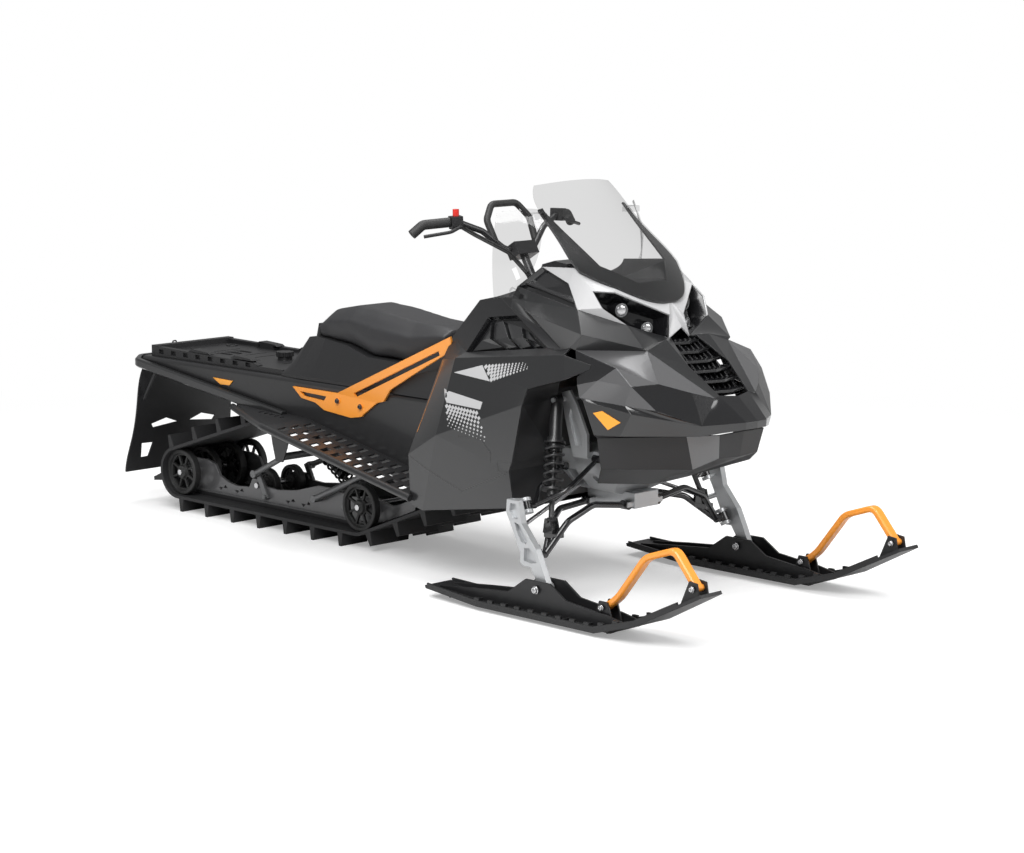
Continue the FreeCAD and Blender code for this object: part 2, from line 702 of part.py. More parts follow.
def make_cargo_deck():
    floor = TUNNEL_TOP
    plate_top = floor + DECK_PLATE
    wall_top = plate_top + 18
    rear_x = -1532
    front_x = -735
    half = 192
    deck = block(rear_x, front_x, -half, half, floor, plate_top)
    low = plate_top - 2
    wall = [(rear_x, low), (-905, low), (-880, plate_top + 2), (-905, wall_top - 8), (rear_x, wall_top)]
    for side in (-1, 1):
        deck = deck.fuse(plate_xz(wall, *sorted((side * half, side * (half - 26)))))
    deck = deck.fuse(block(rear_x, rear_x + 34, -half, half, low, wall_top + 4))
    for side in (-1, 1):
        for number in range(8):
            x = rear_x + 46 + number * 76
            edge = sorted((side * (half + 2), side * (half - 10)))
            deck = deck.cut(block(x, x + 30, edge[0], edge[1], plate_top - 8, plate_top + 8))
        for x in (-1240, -982):
            pad = [(x - 66, wall_top - 3), (x + 66, wall_top - 3), (x + 52, wall_top + 4),
                   (x - 44, wall_top + 9)]
            deck = deck.fuse(plate_xz(pad, *sorted((side * (half - 4), side * (half - 44)))))
            foot = sorted((side * (half - 26), side * (half - 44)))
            deck = deck.fuse(block(x - 40, x + 40, foot[0], foot[1], low, wall_top))
        for step in (-DECK_SOCKET_STEP / 2, DECK_SOCKET_STEP / 2):
            place = Vector(DECK_SOCKETS_X + step, side * DECK_SOCKET_ROW / 2, low)
            deck = deck.fuse(Part.makeCylinder(DECK_SOCKET_RADIUS + 9, DECK_SOCKET_RIM + 2, place))
            deck = deck.cut(Part.makeCylinder(DECK_SOCKET_RADIUS, 30, Vector(place.x, place.y, floor + 4)))
    groove = 4
    for x in (-1470, -1330, -1165, -1085, -870, -800):
        deck = deck.cut(block(x, x + 10, -84, 84, plate_top - groove, plate_top + 1))
    for y in (-62, -14, 34):
        hollow = [(-1300, y - 12), (-1195, y - 12), (-1210, y + 20), (-1285, y + 20)]
        deck = deck.cut(plate_xy(hollow, plate_top - groove, plate_top + 1))
    knob_x = -950
    knob = Part.makeCylinder(28, 16, Vector(knob_x, 0, plate_top - 1))
    knob = knob.fuse(Part.makeCylinder(34, 18, Vector(knob_x, 0, plate_top + 14)))
    for step in range(8):
        angle = math.radians(45 * step)
        notch = Vector(knob_x + 36 * math.cos(angle), 36 * math.sin(angle), plate_top + 13)
        knob = knob.cut(Part.makeCylinder(6, 30, notch))
    return [deck.fuse(knob)]


def make_hitch():
    half_wide = BUMPER_RAIL_WIDTH / 2
    half_high = BUMPER_RAIL_HEIGHT / 2
    low = BUMPER_Z - half_high - FIT
    high = BUMPER_Z + half_high + FIT
    back = BUMPER_REAR_X - 26
    front = BUMPER_REAR_X + half_wide + FIT
    jaws = block(back, front + 10, -30, 30, low - 7, low).fuse([
        block(back, front + 10, -30, 30, high, high + 7),
        block(front, front + 10, -30, 30, low - 7, high + 7)])
    pin_x = BUMPER_REAR_X - half_wide - PIN_HOLE_RADIUS - 2
    jaws = jaws.cut(Part.makeCylinder(PIN_HOLE_RADIUS, 90, Vector(pin_x, 0, low - 20)))
    pin = Part.makeCylinder(PIN_HOLE_RADIUS - FIT, high - low + 34, Vector(pin_x, 0, low - 14))
    head = Part.makeCylinder(PIN_HOLE_RADIUS + 4, 4, Vector(pin_x, 0, high + 7 + FIT))
    handle_low = high + 16
    loop = bent_bar([Vector(pin_x, -1, handle_low), Vector(pin_x, -13, handle_low + 18),
                     Vector(pin_x, 13, handle_low + 18),
                     Vector(pin_x, 1, handle_low)], 3, 5)
    return [jaws, pin.fuse([head, loop])]


# Seat, tank and braces, with the seat's underside in side view

SEAT_LINE = [(-640, 745), (-560, 745), (-430, 735), (-300, 705), (-110, 700), (60, 770)]


def loft_sections(sections, ruled=True):
    wires = []
    for corners in sections:
        wires.append(Part.makePolygon(list(corners) + [corners[0]]))
    return Part.makeLoft(wires, True, ruled)


def make_seat_base():
    floor = TUNNEL_TOP
    sections = []
    stations = [(-730, 202, 150, 640), (-672, 205, 112, 742)]
    for (x, top), half in zip(SEAT_LINE, (108, 132, 145, 158, 168)):
        stations.append((x, 208, half, top))
    for x, low_half, top_half, top in stations:
        end_x = x - FIT if x == SEAT_LINE[4][0] else x
        sections.append([
            Vector(end_x, -low_half, floor), Vector(end_x, low_half, floor),
            Vector(end_x, low_half, floor + 12),
            Vector(end_x, top_half, top), Vector(end_x, -top_half, top),
            Vector(end_x, -low_half, floor + 12)])
    base = loft_sections(sections)
    hump = loft_sections([
        [Vector(-700, -60, 700), Vector(-700, 60, 700), Vector(-700, 60, 712), Vector(-700, -60, 712)],
        [Vector(-652, -92, 700), Vector(-652, 92, 700), Vector(-652, 84, 792), Vector(-652, -84, 792)],
        [Vector(-640.3, -92, 700), Vector(-640.3, 92, 700), Vector(-640.3, 84, 792),
         Vector(-640.3, -84, 792)]])
    return [base.fuse(hump)]


def make_seat():
    sections = []
    halves = (105, 130, 140, 145, 140, 112)
    tops = (800, 848, 872, 862, 838, 828)
    for (x, floor), half, top in zip(SEAT_LINE, halves, tops):
        low = floor + FIT
        shoulder = top - (top - low) * 0.35
        sections.append([
            Vector(x, -half * 0.9, low), Vector(x, half * 0.9, low), Vector(x, half, shoulder),
            Vector(x, half * 0.6, top), Vector(x, -half * 0.6, top), Vector(x, -half, shoulder)])
    return [loft_sections(sections)]


def make_fuel_tank(neighbours):
    floor = TUNNEL_TOP
    side = TUNNEL_WIDTH / 2 - 0.5
    sections = []
    for x, top_half, shoulder, top in ((-110, 168, 640, 700), (60, 150, 690, 770), (250, 170, 735, 838)):
        sections.append([
            Vector(x, -side, floor), Vector(x, side, floor), Vector(x, side, shoulder),
            Vector(x, top_half, top), Vector(x, -top_half, top), Vector(x, -side, shoulder)])
    return [trimmed(loft_sections(sections), neighbours)]


BRACE_SHEET = 9.0


BRACE_PLATE = [
    (-641, 570), (-593, 532), (-515, 523), (-465, 500), (-319, 488), (-261, 498), (-249, 509), (-178, 557),
    (-394, 570),
]

BRACE_ARM = [(-394, 570), (-178, 557), (-140, 566), (-95, 614), (76, 701), (262, 792), (262, 840)]
BRACE_SPREAD = 0.18


def make_side_braces(neighbours):
    """Flat rear plate on the tunnel's side, and an arm that rises outward to the side panel."""
    wall = -TUNNEL_WIDTH / 2 - FIT
    sheet = Vector(0, -BRACE_SHEET, 0)
    plate = plate_xz(BRACE_PLATE, wall - BRACE_SHEET, wall)
    fork = [(-600, 556), (-452, 552), (-466, 534), (-580, 541)]
    plate = plate.cut(plate_xz(fork, wall - BRACE_SHEET, wall))
    fold_start = Vector(*BRACE_ARM[0], 0)
    fold = (Vector(*BRACE_ARM[1], 0) - fold_start).normalize()
    corners = []
    for x, z in BRACE_ARM:
        rise = abs(fold.cross(Vector(x, z, 0) - fold_start).z)
        corners.append(Vector(x, wall - BRACE_SPREAD * rise, z))
    arm = flat_face(corners).extrude(sheet)
    slot = [(-298, 580), (-290, 566), (196, 768), (192, 783)]
    arm = arm.cut(plate_xz(slot, -400, 0))
    brace = plate.fuse(arm)
    for x, z in ((-386, 543), (-262, 535)):
        brace = brace.fuse(cross_rod(x, z, 9, wall - BRACE_SHEET - 5, wall - 2))
    return both_sides(trimmed(brace, neighbours))


# Body: one surface of named points, split where the real panels meet

BODY_POINTS = {
    "knee_low": (246, -250, 839),
    "knee_top": (379, -250, 974),
    "shoulder": (476, -255, 995),
    "hood_rear": (553, -270, 995),
    "side_rear_top": (245, -300, 762),
    "louvre_rear_low": (398, -335, 805),
    "louvre_rear_top": (449, -280, 924),
    "louvre_front_top": (590, -284, 942),
    "louvre_front_low": (781, -332, 854),
    "edge_rear": (563, -280, 964),
    "edge_mid": (730, -306, 911),
    "edge_low": (840, -325, 853),
    "crease_rear": (677, -312, 958),
    "crease_front": (947, -345, 914),
    "seam_top": (876, -290, 985),
    "seam_low": (880, -328, 863),
    "vent_rear": (559, -250, 1034),
    "vent_top": (625, -200, 1101),
    "vent_front": (798, -252, 1062),
    "brow_side": (810, -230, 1112),
    "brow_inner": (902, -140, 1058),
    "brow_centre": (1015, 0, 1004),
    "lamp_outer": (896, -240, 1043),
    "lamp_top": (949, -190, 1041),
    "lamp_bridge": (1050, -34, 962),
    "lamp_foot": (1062, -50, 888),
    "lamp_under": (1012, -200, 938),
    "lamp_rear_low": (950, -252, 992),
    "bridge_low": (1072, 0, 920),
    "nose_shoulder": (1098, -105, 892),
    "nose_crease": (1098, -215, 870),
    "cowl_rear": (911, -335, 859),
    "cowl_mid": (1101, -200, 862),
    "cowl_front": (1307, -100, 719),
    "cowl_front_low": (1265, -165, 738),
    "cowl_side": (1195, -250, 769),
    "cowl_notch": (1088, -332, 818),
    "cheek_top": (1033, -360, 774),
    "cheek_front": (1146, -322, 762),
    "cheek_low": (1216, -282, 688),
    "cheek_foot": (1129, -335, 700),
    "cheek_rear_low": (958, -365, 711),
    "cheek_rear": (944, -362, 752),
    "grille_top": (1078, -62, 892),
    "grille_mid": (1190, -98, 812),
    "grille_low": (1300, -72, 724),
    "lip_centre": (1318, 0, 718),
    "side_top": (882, -360, 843),
    "side_tip": (1005, -338, 815),
    "wheel_arch_front": (902, -378, 766),
    "wheel_arch_top": (754, -398, 723),
    "wheel_arch_mid": (731, -402, 667),
    "wheel_arch_low": (688, -405, 473),
    "side_front_low": (674, -405, 441),
    "side_belly": (697, -405, 318),
    "side_toe": (280, -430, 258),
    "side_rear_low": (218, -428, 271),
    "side_rear": (211, -430, 445),
    "side_crease_top": (392, -380, 789),
    "side_crease_low": (360, -440, 529),
    "band_rear_top": (978, -370, 705),
    "band_mid_top": (1156, -332, 675),
    "band_front_top": (1315, -172, 637),
    "band_tip_top": (1397, -50, 645),
    "band_centre_top": (1402, 0, 645),
    "band_rear_low": (1020, -362, 596),
    "band_mid_low": (1116, -342, 600),
    "band_front_low": (1305, -172, 602),
    "band_tip_low": (1395, -50, 621),
    "band_centre_low": (1400, 0, 621),
    "belly_rear_top": (1021, -348, 585),
    "belly_rear_low": (1017, -325, 479),
    "belly_mid_top": (1250, -172, 596),
    "belly_mid_low": (1251, -142, 484),
    "belly_front_top": (1336, -110, 603),
    "belly_front_low": (1322, -95, 524),
    "belly_centre_top": (1345, 0, 606),
    "belly_centre_low": (1328, 0, 520),
    "belly_bottom_front": (1010, -100, 400),
    "belly_bottom_centre": (1015, 0, 398),
    "belly_bottom_rear": (960, -280, 420),
    "pan_side": (952, -186, 418),
    "pan_centre": (952, 0, 400),
    "pan_rear_side": (480, -219, 286),
    "pan_rear_centre": (480, 0, 286),
    "pan_mid_side": (697, -219, 312),
    "pan_mid_centre": (697, 0, 312),
    "console_rear": (246, 0, 845),
    "console_middle": (400, 0, 950),
    "dash_rear": (520, 0, 1050),
    "dash_front": (800, 0, 1062),
    "well_top": (262, -219, 752),
    "well_middle": (240, -219, 445),
    "well_low": (244, -219, 280),
}

BODY_PANELS = {
    "hood": [
        ("hood_rear", "vent_rear", "seam_top"),
        ("hood_rear", "seam_top", "crease_front", "crease_rear"),
        ("hood_rear", "crease_rear", "edge_mid", "edge_rear"),
        ("crease_rear", "crease_front", "seam_low", "edge_low"),
        ("crease_rear", "edge_low", "edge_mid"),
    ],
    "intake_vents": [
        ("vent_rear", "vent_top", "vent_front", "seam_top"),
    ],
    "lamp_surround": [
        ("vent_top", "brow_side", "vent_front"),
        ("vent_front", "brow_side", "lamp_outer", "seam_top"),
        ("brow_side", "brow_inner", "lamp_top", "lamp_outer"),
        ("brow_inner", "brow_centre", "lamp_bridge", "lamp_top"),
        ("seam_top", "lamp_outer", "lamp_rear_low"),
        ("seam_top", "lamp_rear_low", "lamp_under"),
        ("lamp_bridge", "brow_centre", "bridge_low", "lamp_foot"),
    ],
    "nose_cowl": [
        ("seam_top", "lamp_under", "nose_crease", "crease_front"),
        ("lamp_under", "lamp_foot", "nose_shoulder", "nose_crease"),
        ("crease_front", "nose_crease", "cowl_mid", "cowl_rear"),
        ("crease_front", "cowl_rear", "seam_low"),
        ("nose_crease", "nose_shoulder", "cowl_mid"),
        ("nose_shoulder", "grille_mid", "cowl_mid"),
        ("nose_shoulder", "lamp_foot", "grille_top"),
        ("nose_shoulder", "grille_top", "grille_mid"),
        ("cowl_mid", "grille_mid", "grille_low", "cowl_front"),
    ],
    "lower_cowl": [
        ("cowl_rear", "cowl_mid", "cowl_side", "cowl_notch"),
        ("cowl_mid", "cowl_front", "cowl_front_low", "cowl_side"),
        ("cowl_notch", "cowl_side", "cheek_front"),
        ("cowl_notch", "cheek_front", "cheek_top"),
        ("cheek_top", "cheek_front", "cheek_foot", "cheek_rear_low"),
        ("cheek_top", "cheek_rear_low", "cheek_rear"),
        ("cheek_front", "cheek_low", "cheek_foot"),
    ],
    "chin": [
        ("cowl_side", "cowl_front_low", "cheek_low", "cheek_front"),
        ("cowl_front_low", "cowl_front", "band_front_top"),
        ("cowl_front_low", "band_front_top", "cheek_low"),
        ("cowl_front", "grille_low", "band_tip_top", "band_front_top"),
        ("grille_low", "lip_centre", "band_centre_top", "band_tip_top"),
        ("cheek_low", "band_front_top", "band_mid_top", "cheek_foot"),
        ("cheek_foot", "band_mid_top", "band_rear_top", "cheek_rear_low"),
        ("cowl_rear", "cowl_notch", "cheek_top", "cheek_rear"),
    ],
    "front_bumper": [
        ("band_rear_top", "band_mid_top", "band_mid_low", "band_rear_low"),
        ("band_mid_top", "band_front_top", "band_front_low", "band_mid_low"),
        ("band_front_top", "band_tip_top", "band_tip_low", "band_front_low"),
        ("band_tip_top", "band_centre_top", "band_centre_low", "band_tip_low"),
    ],
    "belly_pan": [
        ("band_rear_low", "band_mid_low", "belly_rear_top"),
        ("belly_rear_top", "belly_mid_top", "belly_mid_low", "belly_rear_low"),
        ("belly_rear_low", "belly_mid_low", "belly_bottom_front", "belly_bottom_rear"),
        ("belly_mid_low", "belly_front_low", "belly_bottom_front"),
        ("belly_front_top", "belly_centre_top", "belly_centre_low", "belly_front_low"),
        ("belly_front_low", "belly_centre_low", "belly_bottom_centre", "belly_bottom_front"),
        ("belly_bottom_front", "belly_bottom_centre", "pan_centre", "pan_side"),
        ("belly_bottom_rear", "belly_bottom_front", "pan_side"),
    ],
    "skid_plates": [
        ("belly_mid_top", "belly_front_top", "belly_front_low", "belly_mid_low"),
    ],
    "under_pan": [
        ("side_toe", "side_rear_low", "well_low", "pan_rear_side"),
        ("side_toe", "pan_rear_side", "pan_mid_side", "side_belly"),
        ("pan_rear_side", "pan_rear_centre", "pan_mid_centre", "pan_mid_side"),
    ],
    "console": [
        ("knee_low", "knee_top", "console_middle", "console_rear"),
        ("knee_top", "shoulder", "dash_rear", "console_middle"),
        ("shoulder", "hood_rear", "vent_rear", "dash_rear"),
        ("vent_rear", "vent_top", "dash_front", "dash_rear"),
        ("vent_top", "brow_side", "dash_front"),
        ("brow_side", "brow_inner", "dash_front"),
        ("brow_inner", "brow_centre", "dash_front"),
    ],
    "side_panels": [
        ("side_rear_top", "side_crease_top", "side_crease_low", "side_rear"),
        ("side_rear", "side_crease_low", "side_toe", "side_rear_low"),
        ("side_crease_top", "side_top", "wheel_arch_front", "wheel_arch_top"),
        ("side_crease_top", "wheel_arch_top", "wheel_arch_mid", "side_crease_low"),
        ("side_crease_low", "wheel_arch_mid", "wheel_arch_low", "side_front_low"),
        ("side_crease_low", "side_front_low", "side_belly", "side_toe"),
        ("louvre_rear_low", "louvre_front_low", "side_top", "side_crease_top"),
        ("louvre_front_low", "edge_low", "seam_low", "side_top"),
        ("side_top", "side_tip", "wheel_arch_front"),
        ("side_rear_top", "side_rear", "well_middle", "well_top"),
        ("side_rear", "side_rear_low", "well_low", "well_middle"),
    ],
    "side_louvres": [
        ("louvre_rear_low", "louvre_rear_top", "louvre_front_top", "louvre_front_low"),
    ],
    "knee_panels": [
        ("side_rear_top", "knee_low", "louvre_rear_low", "side_crease_top"),
        ("knee_low", "knee_top", "louvre_rear_top", "louvre_rear_low"),
        ("knee_top", "shoulder", "louvre_front_top", "louvre_rear_top"),
        ("shoulder", "hood_rear", "edge_rear"),
        ("shoulder", "edge_rear", "louvre_front_top"),
        ("louvre_front_top", "edge_rear", "edge_mid"),
        ("louvre_front_top", "edge_mid", "edge_low", "louvre_front_low"),
    ],
}

BODY_MIDDLE = Vector(700, 0, 650)
LINER_GAP = 0.8
LOUVRE_CORNERS = ["louvre_rear_low", "louvre_rear_top", "louvre_front_top", "louvre_front_low"]
VENT_CORNERS = ["vent_rear", "vent_top", "vent_front", "seam_top"]


def join_middle(half):
    """The half and its mirror image, as one solid where they meet in the middle."""
    other = mirrored(half)
    if half.BoundBox.YMax > -0.5:
        return [half.fuse(other).removeSplitter()]
    return [half, other]


def body_tables():
    """Outer and inner points of the right half, each inner point behind its own faces."""
    outer = {name: Vector(*place) for name, place in BODY_POINTS.items()}
    normal_sums = {name: [] for name in outer}
    for faces in BODY_PANELS.values():
        for face in faces:
            corners = [outer[name] for name in face]
            normal = (corners[2] - corners[0]).cross(corners[-1] - corners[1])
            if len(face) == 3:
                normal = (corners[1] - corners[0]).cross(corners[2] - corners[0])
            centre = corners[0]
            for corner in corners[1:]:
                centre = centre + corner
            centre = centre * (1.0 / len(corners))
            if normal.dot(centre - BODY_MIDDLE) < 0:
                normal = normal * -1
            normal = normal.normalize()
            for name in face:
                normal_sums[name].append(normal)
    inner = {}
    for name, place in outer.items():
        normals = normal_sums[name]
        if not normals:
            continue
        total = Vector(0, 0, 0)
        for normal in normals:
            total = total + normal
        if abs(place.y) < 1:
            total.y = 0
        total = total.normalize()
        facing = sum(total.dot(normal) for normal in normals) / len(normals)
        inner[name] = place - total * (PANEL_THICKNESS / max(facing, 0.5))
    return outer, inner


def make_body_panels():
    outer, inner = body_tables()
    panels = {}
    for node, faces in BODY_PANELS.items():
        panels[node] = []
        for group in joined_groups(faces):
            panels[node].extend(join_middle(skin(group, outer, inner)))
    return panels


def make_console(shapes):
    """The console with a bearing collar for the steering post."""
    axis = steering_axis()
    top = STEERING_POINT - axis * 138
    low = STEERING_POINT - axis * 172
    hole = rod(STEERING_POINT - axis * 400, STEERING_POINT, POST_RADIUS + 6)
    collar = rod(low, top, POST_RADIUS + 14).cut(rod(low - axis * 5, top + axis * 5, POST_RADIUS + FIT))
    return [shapes[0].cut(hole).fuse(collar)] + shapes[1:]


def tray_points(names, depth, sheet):
    """Corners of a shallow tray let into a body opening: front and back, outside and inside."""
    outer, inner = body_tables()
    middle = Vector(0, 0, 0)
    for name in names:
        middle = middle + outer[name] * (1.0 / len(names))
    outside = {}
    inside = {}
    for name in names:
        inward = (inner[name] - outer[name]).normalize()
        toward = middle - outer[name]
        toward = (toward - inward * toward.dot(inward)).normalize() * sheet * 1.4
        outside["front_" + name] = outer[name]
        outside["back_" + name] = outer[name] + inward * depth + toward * 0.5
        inside["front_" + name] = outer[name] + toward
        inside["back_" + name] = outer[name] + inward * (depth - sheet) + toward * 1.5
    return outside, inside


def make_tray(names, depth, slats, slat_height):
    """A body vent: a recessed tray with slanted slats across it."""
    sheet = 4.0
    outside, inside = tray_points(names, depth, sheet)
    faces = []
    for name, following in zip(names, names[1:] + names[:1]):
        faces.append(("front_" + name, "front_" + following, "back_" + following))
        faces.append(("front_" + name, "back_" + following, "back_" + name))
    faces.append(("back_" + names[0], "back_" + names[1], "back_" + names[2]))
    faces.append(("back_" + names[0], "back_" + names[2], "back_" + names[3]))
    tray = skin(faces, outside, inside)
    front = [outside["front_" + name] for name in names]
    back = [inside["back_" + name] for name in names]

    def spot(ring, across, down):
        top = ring[1] + (ring[2] - ring[1]) * across
        low = ring[0] + (ring[3] - ring[0]) * across
        return low + (top - low) * down

    for number in range(slats):
        down = (number + 0.65) / (slats + 0.3)
        corners = []
        for across in (0.015, 0.985):
            root = spot(back, across, down)
            edge = spot(front, across, down - 0.45 / slats)
            corners.append((root - (edge - root) * 0.1, root + (edge - root) * slat_height))
        (root_a, edge_a), (root_b, edge_b) = corners
        up = (spot(front, 0.5, 1) - spot(front, 0.5, 0)).normalize() * 5
        points = {"a": root_a, "b": root_b, "c": edge_b, "d": edge_a}
        shifted = {name: place + up for name, place in points.items()}
        slat = skin([("a", "b", "c"), ("a", "c", "d")], points, shifted)
        tray = tray.fuse(slat)
    return tray


def make_lamp_housings(neighbours):
    """The dark tub behind each lamp opening, with a hole for each lamp."""
    inner = body_tables()[1]
    names = ["lamp_outer", "lamp_top", "lamp_bridge", "lamp_foot", "lamp_under", "lamp_rear_low"]
    ring = [inner[name] for name in names]
    middle = Vector(0, 0, 0)
    for corner in ring:
        middle = middle + corner * (1.0 / len(ring))
    inward = Vector(-0.86, 0.36, -0.36)
    points = {}
    for name in names:
        points["front_" + name] = middle + (inner[name] - middle) * 1.03
        points["back_" + name] = middle + (inner[name] - middle) * 0.8 + inward * 60
    faces = []
    for name, following in zip(names, names[1:] + names[:1]):
        faces.append(("front_" + name, "front_" + following, "back_" + following))
        faces.append(("front_" + name, "back_" + following, "back_" + name))
    backs = ["back_" + name for name in names]
    for second, third in zip(backs[1:], backs[2:]):
        faces.append((backs[0], second, third))
    inside = {}
    for name, place in points.items():
        inside[name] = place + (middle + inward * 25 - place).normalize() * 5
    for name in names:
        inside["front_" + name] = middle + (inner[name] - middle) * 0.96
    housing = skin(faces, points, inside)
    for x, y, z, radius in LAMP_PLACES:
        front = Vector(x, y, z)
        housing = housing.cut(rod(front - LAMP_HEADING * 120, front + LAMP_HEADING * 20, radius + FIT))
    housing = trimmed(housing, neighbours)
    return [housing, mirrored(housing)]


LAMP_PLACES = [(946, -158, 978, 24), (1004, -98, 918, 22)]
LAMP_HEADING = Vector(0.93, -0.3, -0.05).normalize()
LAMP_DEPTH = 62.0


def make_headlamps(neighbours):
    lamps = []
    for x, y, z, radius in LAMP_PLACES:
        front = Vector(x, y, z)
        barrel = rod(front - LAMP_HEADING * LAMP_DEPTH, front + LAMP_HEADING * 3, radius)
        recess = rod(front - LAMP_HEADING * 8, front + LAMP_HEADING * 4, radius - 4)
        lens_radius = radius * 1.5
        lens = Part.makeSphere(lens_radius, front - LAMP_HEADING * lens_radius)
        lens = lens.common(rod(front - LAMP_HEADING * 12, front + LAMP_HEADING * 4, radius - 5))
        lamps.extend(both_sides(trimmed(barrel.cut(recess).fuse(lens), neighbours)))
    return lamps


GRILLE_SLATS = 6


def make_grille(neighbours):
    """V-shaped slats between two side rails, over a dark back plate with upright bars."""
    edge_top = Vector(1064, -60, 886)
    edge_middle = Vector(1180, -96, 806)
    edge_low = Vector(1290, -70, 718)
    spread = 1.12
    bars = []
    for number in range(GRILLE_SLATS):
        share = (number + 0.5) / GRILLE_SLATS
        if share < 0.5:
            edge = edge_top + (edge_middle - edge_top) * (share * 2)
        else:
            edge = edge_middle + (edge_low - edge_middle) * (share * 2 - 1)
        side = -edge.y * spread
        nose = edge.x + 26
        back = edge.x - 40
        plan = [(edge.x, -side), (nose, 0), (edge.x, side), (back, side), (back + 20, 0), (back, -side)]
        bars.append(plate_xy(plan, edge.z - 5, edge.z + 4))
    for y in (-62, -36, -12, 12, 36, 62):
        upright = [(edge_middle.x - 106, 882), (edge_middle.x - 10, 812), (edge_low.x - 26, 728),
                   (edge_low.x - 44, 728),
                   (edge_middle.x - 34, 800), (edge_middle.x - 126, 876)]
        bars.append(plate_xz(upright, y - 3, y + 3))
    back_profile = [(edge_top.x - 44, edge_top.z), (edge_middle.x - 40, edge_middle.z),
                    (edge_low.x - 40, edge_low.z),
                    (edge_low.x - 40, edge_low.z - 8), (edge_middle.x - 46, edge_middle.z - 8),
                    (edge_top.x - 50, edge_top.z - 8)]
    back = plate_xz(back_profile, -100, 100)
    return [trimmed(back.fuse(bars), neighbours)]


def make_reflectors():
    outer = body_tables()[0]
    a = outer["band_rear_top"]
    b = outer["band_mid_top"]
    c = outer["band_mid_low"]
    d = outer["band_rear_low"]
    normal = (c - a).cross(d - b).normalize()
    if normal.y > 0:
        normal = normal * -1

    def spot(across, down):
        top = a + (b - a) * across
        low = d + (c - d) * across
        return top + (low - top) * down

    corners = [spot(0.18, 0.3), spot(0.4, 0.16), spot(0.86, 0.42), spot(0.55, 0.78)]
    face = flat_face([corner + normal * 0.3 for corner in corners[:3]])
    lens = face.extrude(normal * 4)
    far_half = [corner + normal * 0.3 for corner in (corners[0], corners[2], corners[3])]
    lens = lens.fuse(flat_face(far_half).extrude(normal * 4))
    return both_sides(lens)


def make_windshield_frame(neighbours):
    outer_rows = offset_rows(screen_rows(), FIT + 0.4)
    band = sheet_solid(outer_rows, SCREEN_FRAME_THICKNESS)
    window = [(-300, 760), (-188, 700), (-196, 545), (-160, 275), (-70, 172), (70, 172), (160, 275),
              (196, 545), (188, 700),
              (300, 760)]
    above = [(-300, 562), (300, 562), (300, 900), (-300, 900)]
    band = band.cut(screen_prism(window)).cut(screen_prism(above))
    return [trimmed(band, neighbours)]


def make_side_deflectors(neighbours):
    rows = [
        [Vector(640, -228, 1294), Vector(668, -248, 1190), Vector(604, -262, 1052)],
        [Vector(590, -284, 1296), Vector(606, -306, 1170), Vector(584, -306, 1010)],
        [Vector(543, -330, 1284), Vector(556, -362, 1180), Vector(548, -350, 1000)],
    ]
    shield = sheet_solid(rows, 3.0)
    vent = [(-318, 1100), (-306, 1108), (-290, 1068), (-302, 1060)]
    vent_corners = [Vector(400, y, z) for y, z in vent]
    shield = shield.cut(flat_face(vent_corners).extrude(Vector(400, 0, 0)))
    foot = rod(Vector(584, -304, 1030), Vector(596, -262, 1000), 10)
    clip = block(612, 652, -250, -205, 1262, 1282)
    return both_sides(trimmed(shield.fuse([foot, clip]), neighbours))


def make_gauge(neighbours):
    sections = []
    for x, half, low, top in ((470, 70, 1008, 1052), (500, 84, 1030, 1092), (560, 84, 1056, 1108),
                              (600, 60, 1060, 1098)):
        sections.append([Vector(x, -half, low), Vector(x, half, low), Vector(x, half * 0.85, top),
                         Vector(x, -half * 0.85, top)])
    return [trimmed(loft_sections(sections), neighbours)]


def make_arch_liners():
    """Black walls behind the front suspension, inside the wheel arches."""
    inner = body_tables()[1]
    rim = ["wheel_arch_top", "wheel_arch_mid", "wheel_arch_low", "side_front_low", "side_belly"]
    depths = {"wheel_arch_top": 712, "wheel_arch_mid": 700, "wheel_arch_low": 682, "side_front_low": 672,
              "side_belly": 694}
    points = {}
    for name in rim:
        edge = inner[name]
        points[name] = Vector(edge.x, edge.y + LINER_GAP, edge.z)
        points["deep_" + name] = Vector(depths[name], -204, edge.z)
    faces = []
    for name, following in zip(rim, rim[1:]):
        faces.append((name, following, "deep_" + following))
        faces.append((name, "deep_" + following, "deep_" + name))
    behind = {name: place + Vector(-4, 0, 0) for name, place in points.items()}
    return both_sides(skin(faces, points, behind))


def make_windshield(neighbours):
    return [trimmed(sheet_solid(screen_rows(), -SCREEN_THICKNESS), neighbours)]


# Front suspension, spindles and skis

def make_lower_arms():
    axis = (KINGPIN_TOP - KINGPIN_LOW).normalize()
    hub = KINGPIN_LOW
    arm = rod(hub - axis * 15, hub + axis * 15, 19)
    fork = hub + ARM_INWARD * 36
    arm = arm.fuse([rod(hub + ARM_INWARD * 12, fork, 12.5), Part.makeSphere(12.5, fork)])
    front = bent_bar([fork, Vector(880, -335, 290), Vector(890, -225, 333),
                      Vector(895, -LOWER_PIVOT_Y, 312)], 11, 60)
    rear = bent_bar([fork, Vector(800, -330, 278), Vector(740, -230, 300),
                     Vector(722, -LOWER_PIVOT_Y, 305)], 11, 60)
    arm = arm.fuse([front, rear, block(824, 878, -391.5, -352.5, 238, 254)])
    for x, z in ((895, 312), (722, 305)):
        arm = arm.fuse(rod(Vector(x - 16, -LOWER_PIVOT_Y, z), Vector(x + 16, -LOWER_PIVOT_Y, z), 15))
    ear = [(818, 252), (862, 252), (850, 300), (826, 300)]
    arm = arm.fuse([plate_xz(ear, -391, -384.3), plate_xz(ear, -359.7, -353)])
    arm = arm.fuse(cross_rod(SHOCK_LOW.x, SHOCK_LOW.z, SHOCK_BOLT, -396, -348))
    arm = arm.cut(rod(hub - axis * 30, hub + axis * 30, PIN_RADIUS + FIT))
    return both_sides(arm)


